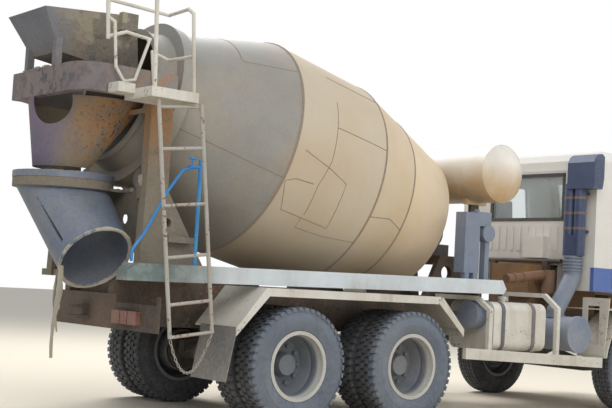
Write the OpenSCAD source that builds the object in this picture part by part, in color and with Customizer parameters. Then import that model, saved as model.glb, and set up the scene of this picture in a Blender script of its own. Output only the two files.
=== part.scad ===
// Concrete mixer truck: a tilted drum on a six wheel, three axle cab-over chassis.
// X points forward, Y to the truck's left, Z up, in millimetres.
// Lengths along X are measured from the rearmost axle, then shifted so that the
// whole truck stands with its origin at the middle of its footprint.

/* [Running gear] */
// distance from the rearmost axle to the middle axle
tandem = 1350; // [1300:10:1420]
// distance from the rearmost axle to the front axle
front_axle_x = 4900; // [4800:10:5000]
// outer radius of every tyre
tyre_r = 510; // [500:1:520]
// width of one tyre
tyre_w = 270; // [250:1:280]
// outer radius of the rim flange
rim_r = 305; // [300:1:310]
// distance from the centre line to the middle of the outer rear tyre
rear_track_y = 1090; // [1085:1:1100]
// distance from the centre line to the middle of a front tyre
front_track_y = 1020; // [1010:1:1030]
// distance from a front tyre's middle plane in to its steering pivot
king_in = 120; // [115:1:125]

/* [Chassis] */
// distance from the centre line to the outer face of a frame rail
rail_y = 430; // [420:1:440]
// height of the underside of the frame rails
rail_z = 780; // [770:5:800]
// depth of a frame rail
rail_h = 270; // [250:5:280]
// depth of the mixer's own frame on top of the rails
sub_h = 120; // [100:5:130]
// distance of the frame's rear face behind the rearmost axle
frame_back = 1420; // [1380:10:1460]
// distance of the bumper's rear face ahead of the rearmost axle
bumper_x = 5980; // [5975:1:6010]
// depth of the bumper from back to front
bumper_d = 160; // [140:5:180]

/* [Drum] */
// tilt of the drum's axis, front end down
drum_tilt = 13.7; // [13:0.1:14.2]
// place of the drum's mouth along the truck
mouth_x = -1290; // [-1300:5:-1280]
// height of the middle of the drum's mouth
mouth_z = 2795; // [2790:5:2810]
// radius of the drum's mouth
mouth_r = 590; // [580:5:600]
// largest radius of the drum
drum_r = 1050; // [1020:5:1060]
// length of the rear cone
rear_cone = 1300; // [1260:10:1340]
// length of the middle barrel
barrel = 1060; // [1020:10:1100]
// length of the front cone
front_cone = 1210; // [1180:10:1240]
// radius of the drum where the front cone ends
nose_r = 745; // [720:5:760]
// radius of the ring that runs on the rollers
ring_r = 760; // [750:5:765]

/* [Cab] */
// distance of the cab's rear wall ahead of the rearmost axle
cab_back = 4250; // [4240:5:4270]
// half the width of the cab
cab_y = 1000; // [990:5:1010]
// height of the cab's floor pan, underside
cab_z = 1320; // [1310:5:1330]
// height of the cab's roof
roof_z = 2890; // [2850:5:2920]
// thickness of the cab's walls and doors
wall = 50; // [40:1:55]

/* [Rear end] */
// distance of the chute's swivel axis behind the rearmost axle
chute_back = 1730; // [1725:5:1745]
// outer radius of the chute's bowl at its rim
bowl_r = 430; // [425:5:435]
// height of the bowl's rim
bowl_z = 2040; // [2030:5:2050]
// distance of the hopper's rear lip behind the rearmost axle
hopper_back = 2180; // [2175:5:2200]
// height of the ladder platform
deck_z = 2700; // [2690:5:2710]

/* [Tanks] */
// outer radius of the water tank
water_r = 300; // [280:5:310]
// half the length of the water tank over its domed ends
water_y = 1020; // [980:10:1040]

/* [Hidden] */
$fn = 48;

// gap left round a moving piece and round a turning shaft
gap = 6;
shaft_gap = 1;
// middle of the truck from bumper to hopper lip
x_mid = (bumper_x + bumper_d - hopper_back) / 2;
// heights that follow from the frame
rail_top = rail_z + rail_h;
sub_top = rail_top + sub_h;
// spacing of a twin pair and the plane where its two discs meet
twin = tyre_w + 50;
inner_track_y = rear_track_y - twin;
disc_y = rear_track_y - twin / 2;
// stations along the drum's axis
seam_rear = rear_cone;
seam_front = rear_cone + barrel;
nose = seam_front + front_cone;
ring_at = 250;
ring_w = 120;
roller_r = 110;
roller_turn = 35;
// colours
cream = [0.86, 0.83, 0.76];
tan = [0.80, 0.66, 0.47];
cement = [0.62, 0.58, 0.50];
rust = [0.45, 0.28, 0.18];
steel = [0.42, 0.45, 0.50];
dark = [0.16, 0.16, 0.17];
blue = [0.24, 0.30, 0.42];
black = [0.07, 0.07, 0.08];

// moves from rear-axle measure to the middle of the truck
module on_truck() translate([-x_mid, 0, 0]) children();

// the same piece on both sides
module both() {
    children();
    mirror([0, 1, 0]) children();
}

// a side profile in X and Z, made solid from y0 to y1
module slab(y0, y1, points) translate([0, y1, 0]) rotate([90, 0, 0])
    linear_extrude(y1 - y0) polygon(points);

// a box given by its low and high corners
module block(low, high) translate(low) cube(high - low);

// a round bar from one point to another
module bar(from, to, r) {
    run = to - from;
    length = norm(run);
    translate(from) rotate([0, acos(run[2] / length), atan2(run[1], run[0])])
        cylinder(h = length, r = r);
}

// a chain of round bars with a slightly larger ball at each bend
ball_over = 1;
module pipe(points, r) {
    for (i = [0:len(points) - 2]) bar(points[i], points[i + 1], r);
    for (i = [1:1:len(points) - 2]) translate(points[i]) sphere(r = r + ball_over);
}

// the drum's own frame: X along the axis from the mouth
module on_drum() on_truck() translate([mouth_x, 0, mouth_z]) rotate([0, drum_tilt, 0]) children();

// a profile of [radius, along] turned round the X axis
module turned_x(points) rotate([0, 90, 0]) rotate_extrude() polygon(points);

// a profile of [radius, along] turned round the Y axis
module turned_y(points) rotate([-90, 0, 0]) rotate_extrude() polygon(points);

// Chassis

module frame() color(rust) on_truck() {
    web = 10;
    flange = 75;
    front = bumper_x;
    both() difference() {
        block([-frame_back, rail_y - flange, rail_z], [front, rail_y, rail_top]);
        block([-frame_back - 1, rail_y - flange - 1, rail_z + web],
            [front + 1, rail_y - web, rail_top - web]);
    }
    // cross members: place along the frame, length, height of the underside, depth
    members = [[-1200, 90, 60, 180], [-330, 90, 60, 180], [tandem / 2 - 60, 120, 20, 230],
        [1900, 90, 60, 180], [3000, 80, 60, 150], [3300, 80, 100, 120], [5860, 100, 20, 230]];
    for (m = members) block([m[0], web - rail_y, rail_z + m[2]],
        [m[0] + m[1], rail_y - web, rail_z + m[2] + m[3]]);
    // rear plate with the lamp boards
    plate = 12;
    back = -frame_back - plate;
    difference() {
        block([back, -1190, rail_z - 20], [-frame_back, rail_y + 180, rail_top]);
        block([back - 1, -1140, rail_z + 200], [0, -rail_y - 70, rail_top + 1]);
        block([back - 1, rail_y + 60, rail_z + 90], [0, rail_y + 181, rail_top + 1]);
    }
    // draw pin lug at the rear
    lug = 110;
    difference() {
        union() {
            for (z = [rail_z + 40, rail_z + 130])
                block([back - lug, -70, z], [back, 70, z + 25]);
            for (z = [rail_z + 40, rail_z + 130])
                translate([back - lug, 0, z]) cylinder(h = 25, r = 70);
        }
        translate([back - lug, 0, rail_z]) cylinder(h = 300, r = 22);
    }
    // tow eyes below the bumper
    eye_z = 500;
    both() difference() {
        union() {
            block([front - 85, rail_y - 60, eye_z], [front - 15, rail_y - 35, rail_z]);
            translate([front - 50, rail_y - 35, eye_z]) rotate([90, 0, 0])
                cylinder(h = 25, r = 35);
        }
        translate([front - 50, rail_y, eye_z]) rotate([90, 0, 0])
            cylinder(h = 80, r = 18);
    }
    // cross tube behind the cab on its two posts
    both() block([4142, rail_y - flange, rail_top], [4198, rail_y, 1640]);
    bar([4170, -605, 1638], [4170, 605, 1638], 25);
    // rear mounts and front pivots of the cab
    both() block([cab_back + 125, rail_y - flange, rail_top],
        [cab_back + 185, rail_y, cab_z - gap]);
    both() {
        for (y = [rail_y - 70, rail_y - 20])
            slab(y, y + 12, [[cab_pivot_x - 60, rail_top], [cab_pivot_x + 60, rail_top],
                [cab_pivot_x + 25, cab_pivot_z + 25], [cab_pivot_x - 25, cab_pivot_z + 25]]);
        bar([cab_pivot_x, rail_y - 75, cab_pivot_z], [cab_pivot_x, rail_y - 3, cab_pivot_z], 12);
    }
}

// the line about which the cab tips forward
cab_pivot_x = bumper_x - 130;
king_y = front_track_y - king_in;
cab_pivot_z = rail_top + 50;

module subframe() color(rust) on_truck() {
    tube = 90;
    front = 2860;
    both() block([-frame_back, rail_y - tube, rail_top], [front, rail_y, sub_top]);
    for (x = [-1330, 660, front - 100])
        block([x, tube - rail_y, rail_top], [x + 100, rail_y - tube, sub_top]);
    // outriggers that carry the side beams
    for (x = [-740, 600, 1500, 2450])
        both() block([x, rail_y - tube, sub_top], [x + 70, beam_in, sub_top + 60 + beam_lift(x)]);
    // front stand of the drum gearbox
    stand_y = 300;
    both() difference() {
        slab(stand_y, stand_y + 60, [[2300, sub_top], [2860, sub_top], [2800, stand_z],
            [2500, stand_z]]);
        translate([2600, 0, 1420]) rotate([-90, 0, 0]) cylinder(h = 900, r = 75);
    }
    block([2500, -stand_y, stand_z - 90], [2800, stand_y, stand_z]);
    // arms that hold up the water tank
    both() slab(500, 540, [[2740, sub_top], [2860, sub_top], [2860, saddle_z], [2740, saddle_z]]);
    both() block([2740, rail_y, sub_top - 60], [2860, 540, sub_top]);
}

// height of the gearbox stand, place of the water tank and height of its saddles
stand_z = 1600;
water_x = 2800;
water_z = 2475;
saddle_z = water_z - water_r - 20;

// side beams along both sides of the mixer
beam_y = 1120;
beam_w = 170;
beam_h = 140;
beam_z = sub_top;
beam_in = beam_y - beam_w;

// how far the side beams rise by their front end, and where they start and end
beam_rise = 60;
beam_back = -1700;
beam_front = 2700;
function beam_lift(x) = beam_rise * (x - beam_back) / (beam_front - beam_back);

module side_beams() color(cream) on_truck() {
    // side view of a beam, with its front end cut back; the left one starts further ahead
    for (side = [[-1, beam_back], [1, -1000]]) mirror([0, side[0] < 0 ? 1 : 0, 0])
        slab(beam_in, beam_y, [[side[1], beam_z + beam_lift(side[1])],
            [beam_front - 40, beam_z + beam_lift(beam_front - 40)],
            [beam_front, beam_z + beam_lift(beam_front) + 50],
            [beam_front - 60, beam_z + beam_h + beam_lift(beam_front - 60)],
            [side[1] + 90, beam_z + beam_h + beam_lift(side[1] + 90)],
            [side[1], beam_z + beam_h - 60]]);
}

fender_top = beam_z;

module fenders() color(cream) on_truck() {
    skin = 12;
    lip = 70;
    inside = 600;
    outside = 1215;
    low_back = [-690, fender_top - 340];
    kink_back = [-400, fender_top];
    kink_front = [1700, fender_top];
    low_front = [2010, fender_top - 300];
    down = [0, skin];
    both() {
        slab(inside, outside, [low_back, kink_back, kink_front, low_front, low_front - down,
            kink_front - [8, skin], kink_back - [-8, skin], low_back - down]);
        slab(outside - skin, outside, [low_back, kink_back, kink_front, low_front,
            low_front - [0, lip], kink_front - [35, lip], kink_back - [-35, lip],
            low_back - [0, lip]]);
        block([low_front[0] - skin, inside, low_front[1] - lip],
            [low_front[0], outside, low_front[1]]);
    }
    // arches over the steered wheels, with the panel behind them
    arch_r = 640;
    arch_in = 800;
    arch_out = 1200;
    shelf = 1120;
    panel_x = cab_back + 10;
    both() difference() {
        translate([front_axle_x, arch_out, tyre_r]) rotate([90, 0, 0])
            linear_extrude(arch_out - arch_in) difference() {
                circle(r = arch_r, $fn = 120);
                circle(r = arch_r - skin, $fn = 120);
            }
        block([0, 0, -arch_r], [front_axle_x + 2 * arch_r, 2000, tyre_r + 90]);
    }
    both() difference() {
        slab_y_at(panel_x, skin, [[860, 620], [1170, 620], [arch_out + 20, 1250], [860, 1250]]);
        block([panel_x - 1, 930, 740], [panel_x + skin + 1, 1090, 1160]);
    }
    both() block([panel_x, arch_in, shelf], [front_axle_x - 180, arch_out, shelf + skin]);
    // brackets to the cab posts and to the frame rails
    both() block([panel_x + 10, rail_y, shelf], [panel_x + 70, arch_in + 1, shelf + skin]);
    both() block([front_axle_x + 545, rail_y, 815], [front_axle_x + 575, arch_in + 1, 850]);
}

module mudflaps() color(steel) on_truck() {
    flap = 8;
    top = -690;
    hem = fender_top - 420;
    mirror([0, 1, 0]) slab(690, 1205, [[top, fender_top - 335], [top - flap, fender_top - 335],
        [top - flap, hem], [top - 70 - flap, 380], [top - 70, 380], [top, hem]]);
}

module lamps() color([0.6, 0.1, 0.08]) on_truck() {
    // tail lamps on the right board: distance from the centre line, width
    tails = [[rail_y + 90, 130], [rail_y + 230, 110], [rail_y + 350, 130]];
    back = -frame_back - 12;
    mirror([0, 1, 0]) for (t = tails)
        block([back - 45, t[0], rail_z + 30], [back, t[0] + t[1], rail_z + 140]);
    // headlamps on the bumper
    both() translate([bumper_x + bumper_d - 10, 880, 780]) rotate([0, 90, 0])
        cylinder(h = 10, r = 85);
    both() translate([bumper_x + bumper_d - 10, 680, 780]) rotate([0, 90, 0])
        cylinder(h = 10, r = 85);
}

// Mixer

module drum_gearbox() color(dark) {
    on_drum() {
        from = nose + 150 + shaft_gap;
        turned_x([[0, from], [230, from], [260, from + 60], [260, from + 230],
            [150, from + 260], [150, from + 420], [0, from + 420]]);
    }
    on_truck() block([2510, -200, stand_z], [2780, 200, 1725]);
}

// inner and outer faces of the pedestal's side plates
pedestal_in = 720;
pedestal_out = 820;

module rear_pedestal() color(cement) {
    plate_in = pedestal_in;
    plate_out = pedestal_out;
    on_truck() {
        col_back = -1400;
        col_front = -1190;
        neck = 1930;
        foot_back = -1420;
        back_plate = -1300;
        both() difference() {
            slab(plate_in, plate_out, [[col_back, beam_low], [col_front, beam_low],
                [col_front, neck], [-770, sub_top + 100], [-770, sub_top], [foot_back, sub_top],
                [foot_back, sub_top + 100], [col_back, neck]]);
            translate([-1180, 0, 1660]) rotate([-90, 0, 0]) cylinder(h = 900, r = 40);
        }
        // base across the frame, the plate behind and the beam under the rollers
        block([-1400, -beam_in, sub_top], [-860, beam_in, sub_top + 60]);
        difference() {
            block([back_plate, -plate_in, 1400], [back_plate + 12, plate_in, neck]);
            both() translate([back_plate - 1, 330, 1690]) rotate([0, 90, 0])
                cylinder(h = 20, r = 45);
        }
        block([back_plate + 11, -plate_in, 1740], [-1140, plate_in, 1890]);
        // ring that carries the swivel chute
        difference() {
            union() {
                translate([-chute_back, 0, chute_ring_z]) cylinder(h = ring_h, r = bowl_neck + 26);
                both() block([-chute_back + 250, 200, chute_ring_z],
                    [back_plate + 1, 320, chute_ring_z + 25]);
            }
            translate([-chute_back, 0, chute_ring_z - 1])
                cylinder(h = ring_h + 2, r = bowl_neck + shaft_gap);
        }
        // tray on the right plate
        block([-1200, -890, 1500], [-950, -plate_out + 1, 1550]);
    }
    // forks of the two rollers
    on_drum() both() translate([ring_at, 0, 0]) rotate([roller_turn, 0, 0]) {
        reach = ring_r + roller_r;
        for (x = [-90, 78]) block([x, -45, -reach - 200], [x + 12, 45, -reach + 45]);
        block([-90, -45, -reach - 250], [90, 45, -reach - 150]);
        bar([-90, 0, -reach], [90, 0, -reach], 20);
    }
}

// band round the chute's collar, and the collar's radius inside it
ring_h = 75;
chute_ring_z = bowl_z - 130;
bowl_neck = bowl_r - 30;

// one roller under the drum's ring, on its right or left side
module roller(side) color(steel) on_drum() translate([ring_at, 0, 0])
    rotate([side * roller_turn, 0, 0]) translate([0, 0, -ring_r - roller_r])
        turned_x([[20 + shaft_gap, -60], [roller_r - 1, -60], [roller_r - 1, 60],
            [20 + shaft_gap, 60]]);

module drum() color(cement) on_drum() {
    skin = 12;
    dome = 130;
    dome_r = nose_r - 130;
    flange_r = mouth_r + 35;
    ring_low = mouth_r + (drum_r - mouth_r) * (ring_at - ring_w / 2) / rear_cone;
    ring_high = mouth_r + (drum_r - mouth_r) * (ring_at + ring_w / 2) / rear_cone;
    turned_x([[mouth_r, 0], [flange_r, 0], [flange_r, 25], [mouth_r + 9, 25],
        [ring_low, ring_at - ring_w / 2], [ring_r, ring_at - ring_w / 2],
        [ring_r, ring_at + ring_w / 2], [ring_high, ring_at + ring_w / 2],
        [drum_r, seam_rear], [drum_r, seam_front], [nose_r, nose], [dome_r, nose + dome * 0.7],
        [280, nose + dome], [280, nose + dome + 20], [0, nose + dome + 20], [0, nose + dome - skin],
        [dome_r - 4, nose + dome * 0.7 - skin], [nose_r - skin, nose - 4],
        [drum_r - skin, seam_front - 3], [drum_r - skin, seam_rear + 3], [mouth_r - skin, 0]]);
}

// outline of the hopper at its rim and at its floor, drawn in by t
module hopper_form(t) hull() {
    rim_front = -1320;
    rim_y = 350;
    floor_y = 250;
    rise = 0.08;
    translate([-hopper_back + t, t - rim_y, 3365]) rotate([0, -atan(rise), 0])
        cube([hopper_back + rim_front - 2 * t, 2 * (rim_y - t), 2 + (t > 0 ? 40 : 0)]);
    translate([-1985 + t, t - floor_y, 3035 + t]) rotate([0, 8, 0])
        cube([780 - 2 * t, 2 * (floor_y - t), 2]);
}

module hopper() color(cement) on_truck() {
    sheet = 10;
    difference() {
        union() {
            hopper_form(0);
            // posts that stand on the beam
            both() block([-2030, 225, beam_top], [-1970, 285, 3200]);
            // brackets at the front of its side walls
            both() block([-1490, 315, 3290], [-1335, 400, 3440]);
        }
        hopper_form(sheet);
        block([-1460, -230, 2930], [-1000, 230, 3200]);
    }
}

// the heavy beam that goes round behind the drum's mouth
beam_low = 2670;
beam_top = 2900;

module hopper_beam() color([0.40, 0.33, 0.32]) on_truck() {
    back = -2050;
    thick = 90;
    arm_y = 800;
    bend = 230;
    left_end = 450;
    arm_front = -1150;
    depth = beam_top - beam_low;
    translate([0, 0, beam_low]) linear_extrude(depth) {
        // right arm, corner and rear bar
        translate([back + bend, -arm_y]) square([arm_front - back - bend, thick]);
        translate([back, bend - arm_y]) square([thick, left_end + arm_y - bend]);
        translate([back + bend, bend - arm_y]) intersection() {
            difference() {
                circle(r = bend);
                circle(r = bend - thick);
            }
            translate([-bend, -bend]) square(bend);
        }
        // left arm, slanting out to the left column
        polygon([[back + thick, left_end - thick], [back + thick, left_end],
            [-1400, arm_y], [arm_front, arm_y], [arm_front, arm_y - thick],
            [-1370, arm_y - thick], [back + thick + 60, left_end - thick]]);
    }
}

// the outline of the discharge funnel, drawn in by t
module funnel_form(t) hull() {
    translate([-1525, 0, beam_low - 2 + t]) cylinder(h = 2, r = 530 - t);
    translate([-chute_back, 0, 2088 - t]) cylinder(h = 2, r = 270 - t);
}

module discharge_funnel() color([0.45, 0.36, 0.28]) on_truck() {
    sheet = 10;
    intersection() {
        difference() {
            funnel_form(0);
            funnel_form(sheet);
            translate([-1990, -190, 2640]) rotate([0, -90, 30]) translate([0, 0, -300])
                cylinder(h = 700, r = 210);
        }
        // the front is cut off along a slant that dips into the drum's mouth
        slab(-900, 900, [[-2300, 2000], [-1676, 2000], [-1219, 2730], [-2300, 2730]]);
    }
    // straps to the side plates
    both() block([-1400, 453, 2560], [-1372, pedestal_in, 2600]);
}

module chute() color(steel) on_truck() translate([-chute_back, 0, 0]) {
    sheet = 10;
    lip = 12;
    difference() {
        union() {
            chute_form(0);
            // rolled lip round the outlet
            chute_outlet(-28) cylinder(h = 30, r = chute_r + lip);
        }
        chute_form(sheet);
        // slot where the sheet's two edges meet
        bar([-350, -226, 1800], [-263, -572, 1457], 13);
    }
}

// middle, tilt and radius of the chute's outlet
outlet_at = [40, -578, 1330];
outlet_lean = 129;
chute_r = 305;

// places a piece at the outlet, moved out of it by a distance
module chute_outlet(out) translate(outlet_at) rotate([outlet_lean, 0, 3])
    translate([0, 0, out]) children();

// the chute's outline drawn in by t: lip and collar, then a slanting cone to the outlet
module chute_form(t) {
    over = t > 0 ? 3 : 0;
    lip_z = chute_ring_z + ring_h + shaft_gap;
    cone_z = chute_ring_z - gap;
    translate([0, 0, lip_z + t]) cylinder(h = bowl_z - lip_z - t + over, r = bowl_r - t);
    translate([0, 0, cone_z - 1]) cylinder(h = lip_z - cone_z + 1 + 2 * t, r = bowl_neck - t);
    hull() {
        translate([0, 0, cone_z]) cylinder(h = 1, r = bowl_neck - t - 12, $fn = 60);
        chute_outlet(over - 1) cylinder(h = 1, r = chute_r - t, $fn = 60);
    }
}

// its heights are all given from the deck's top
module platform() color(cream) on_truck() translate([0, 0, deck_z]) {
    x0 = -1660;
    x1 = -1220;
    y0 = -1240;
    y1 = -pedestal_out;
    tube = 17;
    thin = 13;
    block([x0, y0, -80], [x1, y1, 0]);
    // step that reaches back beside the heavy beam
    block([-1815, -980, -40], [x0 + 1, y1, 38]);
    // posts, each leaning back as it rises
    top = 899;
    right = y0 + 30;
    inner = y1 - 15;
    pipe([[-1845, inner + 15, 390], [-1880, inner + 15, top]], tube);
    pipe([[-1618, right, -5], [-1658, right, top]], tube);
    pipe([[-1880, inner + 15, top - 20], [-1658, right, top - 20]], 15);
    // front post and top rail in one bent tube
    pipe([[-1250, right, -5], [-1300, right, 640], [-1310, right + 60, 685],
        [-1290, inner + 15, 685], [-1868, inner + 15, 710]], 15);
    // mid rail, its inner post and the rail below the rear post
    pipe([[-1272, right, 295], [-1280, inner - 10, 303], [-1440, inner, 350],
        [-1400, inner - 10, -5]], thin);
    // arched rail, and the hanging loop from the rear post to its end
    pipe([[-1847, inner + 15, 410], [-1680, inner + 15, 475], [-1450, inner + 15, 450]], 15);
    pipe([[-1858, inner + 15, 570], [-1815, inner - 25, 530], [-1780, inner - 25, 170],
        [-1700, inner - 25, 65], [-1600, inner - 25, 90], [-1490, inner - 25, 420],
        [-1480, inner + 15, 453]], thin);
}

module ladder() color([0.75, 0.72, 0.68]) on_truck() {
    rail = 17;
    lean = 7.4;
    foot = [-1125, -1200, 752];
    length = deck_z - foot[2] - 8;
    half = 202;
    // places of the rungs along rails 1940 long, and the rung with the tie to the pedestal
    rungs = [for (z = [10, 267, 642, 1054, 1505, 1838]) z * length / 1940];
    tied = rungs[4];
    difference() {
        translate(foot) rotate([0, -lean, 0]) {
            for (x = [-half, half]) translate([x, 0, 0]) cylinder(h = length, r = rail);
            for (z = rungs) bar([-half, 0, z], [half, 0, z], 14);
            bar([0, 0, tied], [0, -foot[1] - pedestal_out, tied], 12);
        }
        block([-2000, -1400, deck_z - 80], [-800, -900, deck_z + 300]);
    }
}

// water pipe up to the tap and the blue pipe that leads back from it
module wash_pipe() color([0.10, 0.45, 0.75]) on_truck() {
    tap_z = 2130;
    r = 13;
    bar([-1030, -1040, on_beam(-1030) + 0.3], [-1030, -1040, tap_z + 60], 16);
    bar([-1030, -1040, tap_z], [-1130, -1020, tap_z - 8], 16);
    pipe([[-1100, -1026, tap_z - 6], [-1180, -1010, 2090], [-1300, -980, 1900],
        [-1460, -960, 1580], [-1600, -1000, 1420], [-1610, -1010, on_beam(-1610) + 12]], r);
    bar([-1100, -1026, tap_z], [-1100, -1026, tap_z + 70], 8);
    bar([-1130, -1026, tap_z + 66], [-1070, -1026, tap_z + 66], 9);
}

// Running gear

module rear_axles() color(dark) on_truck() for (x = [0, tandem]) translate([x, 0, tyre_r]) {
    tube_r = 72;
    end = 600;
    rotate([90, 0, 0]) cylinder(h = 2 * end, r = tube_r, center = true);
    rotate([90, 0, 0]) cylinder(h = 300, r = 190, center = true);
    both() translate([0, end, 0]) rotate([-90, 0, 0]) cylinder(h = 12, r = 180);
    both() bar([0, end, 0], [0, disc_y + 60, 0], 44);
    // nose and back of the drive head, and the spring pads
    bar([-nose_back, 0, 0], [nose_front, 0, 0], 95);
    both() block([-90, spring_in, 0], [90, spring_out, spring_z - tyre_r]);
}

// reach of a drive head ahead of and behind its axle
nose_front = 330;
nose_back = 225;
// rear springs: inner and outer faces, and the height of their underside at the axles
spring_in = 470;
spring_out = 560;
spring_z = 590;

module front_axle() color(dark) on_truck() translate([front_axle_x, 0, 0]) {
    half = 440;
    block([-45, -half, 400], [45, half, front_seat_z]);
    both() slab_y_at(-45, 90, [[half, 400], [king_y - 45, 460], [king_y - 45, 560],
        [half, front_seat_z]]);
    both() difference() {
        translate([0, king_y, 460]) cylinder(h = 100, r = 48);
        translate([0, king_y, 459]) cylinder(h = 102, r = 20 + shaft_gap);
    }
}

// height of the front axle's top, where the springs sit
front_seat_z = 480;

// a profile in Y and Z, made solid along X from x by a depth
module slab_y_at(x, depth, points) translate([x, 0, 0]) rotate([90, 0, 90])
    linear_extrude(depth) polygon(points);

module springs() color(dark) on_truck() {
    // rear bogie: one pack a side over both axles, on a cross tube
    mid = tandem / 2;
    both() slab(spring_in, spring_out, [[-90, spring_z], [90, spring_z], [mid - 120, 640],
        [mid + 120, 640], [tandem - 90, spring_z], [tandem + 90, spring_z],
        [tandem + 90, spring_z + 25], [mid + 120, 745], [mid - 120, 745], [-90, spring_z + 25]]);
    both() block([mid - 90, spring_in - 1, 560], [mid + 90, spring_out + 15, 641]);
    bar([mid, -spring_in, 615], [mid, spring_in, 615], 35);
    both() slab(rail_y, spring_in, [[mid - 160, rail_top - 90], [mid + 160, rail_top - 90],
        [mid + 110, 540], [mid - 110, 540]]);
    // front springs: length each way, arch
    run = 700;
    eye_z = 700;
    seat = front_seat_z;
    both() translate([front_axle_x, 0, 0]) {
        slab(rail_y - 70, rail_y - 5, [[-run, eye_z - 15], [-110, seat], [110, seat],
            [run, eye_z - 15], [run, eye_z + 10], [110, seat + 75], [-110, seat + 75],
            [-run, eye_z + 10]]);
        for (x = [-run, run]) slab(rail_y - 75, rail_y, [[x - 40, eye_z - 30],
            [x + 40, eye_z - 30], [x + 60, rail_z], [x - 60, rail_z]]);
    }
}

// the steering knuckle on the truck's left, mirrored for the right
module knuckle() color(dark) translate([front_axle_x, 0, 0]) {
    spindle = king_y + 180;
    difference() {
        union() {
            for (z = [410, 566]) translate([0, king_y, z]) cylinder(h = 44, r = 48);
            block([-48, king_y, 410], [48, king_y + 60, 610]);
        }
        translate([0, king_y, 454]) cylinder(h = 112, r = 54);
    }
    translate([0, king_y, 410]) cylinder(h = 200, r = 20);
    translate([0, king_y + 60, tyre_r]) rotate([-90, 0, 0]) cylinder(h = 10, r = 175);
    bar([0, king_y + 60, tyre_r], [0, spindle, tyre_r], 38);
    // steering arm
    block([-240, king_y - 20, 415], [0, king_y + 20, 440]);
}

module knuckle_l() on_truck() knuckle();
module knuckle_r() on_truck() mirror([0, 1, 0]) knuckle();

// one tyre at distance y from the centre line, as a hollow ring
module tyre(y) {
    half = tyre_w / 2;
    seat = rim_r - 19;
    skin = 20;
    translate([0, y, 0]) turned_y([[seat, 75 - half], [seat, 45 - half],
        [rim_r, 31 - half], [rim_r + 8, 22 - half],
        [rim_r + 60, 4 - half], [rim_r + 100, -half], [tyre_r - 55, 10 - half],
        [tyre_r - 12, 20 - half], [tyre_r, 36 - half], [tyre_r, half - 36],
        [tyre_r - 12, half - 20], [tyre_r - 55, half - 10], [rim_r + 100, half],
        [rim_r + 60, half - 4], [rim_r + 8, half - 22], [rim_r, half - 31],
        [seat, half - 45], [seat, half - 75], [seat + 12, half - 75],
        [rim_r + 30, half - 22 - skin], [tyre_r - 60, half - 10 - skin],
        [tyre_r - 30, half - 50], [tyre_r - 30, 50 - half], [tyre_r - 60, 10 + skin - half],
        [rim_r + 30, 22 + skin - half], [seat + 12, 75 - half]]);
}

// one rim band at distance y from the centre line
module band(y) {
    half = tyre_w / 2 - 23;
    seat = rim_r - 19;
    translate([0, y, 0]) turned_y([[seat - 30, -20], [seat - 16, -60], [seat - 14, -half],
        [rim_r, -half], [rim_r, 8 - half], [seat, 20 - half], [seat, -50],
        [seat - 18, -16], [seat - 18, 16], [seat, 50], [seat, half - 20],
        [rim_r, half - 8], [rim_r, half], [seat - 14, half], [seat - 16, 60],
        [seat - 30, 20]]);
}

// twin rims with the hub and brake drum between them
module twin_rims() {
    seat = rim_r - 19;
    hub_r = 115;
    out = 110;
    band(rear_track_y);
    band(inner_track_y);
    // both discs, dished out to their bands
    for (s = [-1, 1]) translate([0, disc_y, 0]) mirror([0, s < 0 ? 1 : 0, 0])
        turned_y([[hub_r - 5, 0], [225, 0], [seat - 20, 95], [seat - 14, 110], [seat - 24, 118],
            [seat - 34, 100], [215, 12], [hub_r - 5, 12]]);
    translate([0, disc_y, 0]) difference() {
        union() {
            rotate([-90, 0, 0]) cylinder(h = out, r1 = hub_r, r2 = hub_r - 25);
            rotate([90, 0, 0]) cylinder(h = disc_y - 622, r = 200);
        }
        translate([0, -400, 0]) rotate([-90, 0, 0]) cylinder(h = 400 + 70, r = 44 + shaft_gap);
        translate([0, -40, 0]) rotate([90, 0, 0]) cylinder(h = 400, r = 185);
    }
    for (i = [0:9]) rotate([0, i * 36, 0]) translate([168, disc_y, 0]) rotate([-90, 0, 0])
        cylinder(h = 42, r = 17);
}

// a front rim with its hub and brake drum
module front_rim() {
    seat = rim_r - 19;
    face = 75;
    band(front_track_y);
    translate([0, front_track_y, 0]) {
        turned_y([[60, face], [215, face], [seat - 20, 30], [seat - 14, 18], [seat - 30, 18],
            [210, face - 14], [60, face - 14]]);
        difference() {
            union() {
                rotate([-90, 0, 0]) cylinder(h = face + 50, r1 = 95, r2 = 85);
                translate([0, king_y + 60 + 10 + gap - front_track_y, 0]) rotate([-90, 0, 0])
                    cylinder(h = front_track_y + face - 10 - king_y - 70 - gap, r = 195);
            }
            translate([0, -200, 0]) rotate([-90, 0, 0])
                cylinder(h = 200 + 70, r = 38 + shaft_gap);
            translate([0, -200, 0]) rotate([-90, 0, 0]) cylinder(h = 200 + face - 40, r = 180);
        }
        rotate([-90, 0, 0]) difference() {
            cylinder(h = face, r = 60);
            translate([0, 0, -1]) cylinder(h = 71, r = 38 + shaft_gap);
        }
    }
    for (i = [0:9]) rotate([0, i * 36, 0]) translate([168, front_track_y + face - 5, 0])
        rotate([-90, 0, 0]) cylinder(h = 35, r = 17);
}

// places a left wheel piece at an axle, mirrored for the right side
module wheel_at(x, side) on_truck() translate([x, 0, tyre_r])
    mirror([0, side < 0 ? 1 : 0, 0]) children();

module twin_tyres() {
    tyre(rear_track_y);
    tyre(inner_track_y);
}

module propshafts() color(dark) on_truck() {
    // joints at both ends of the long shaft, then the short shaft between the axles
    joint = 40;
    behind = [tandem + nose_front, 0, tyre_r];
    ahead = [gearbox_back, 0, 800];
    bar(behind, behind + [joint, 0, 0], 70);
    bar(ahead - [joint, 0, 0], ahead, 70);
    bar(behind + [joint, 0, 0], ahead - [joint, 0, 0], 50);
    bar([nose_front, 0, tyre_r], [tandem - nose_back, 0, tyre_r], 50);
}

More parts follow.
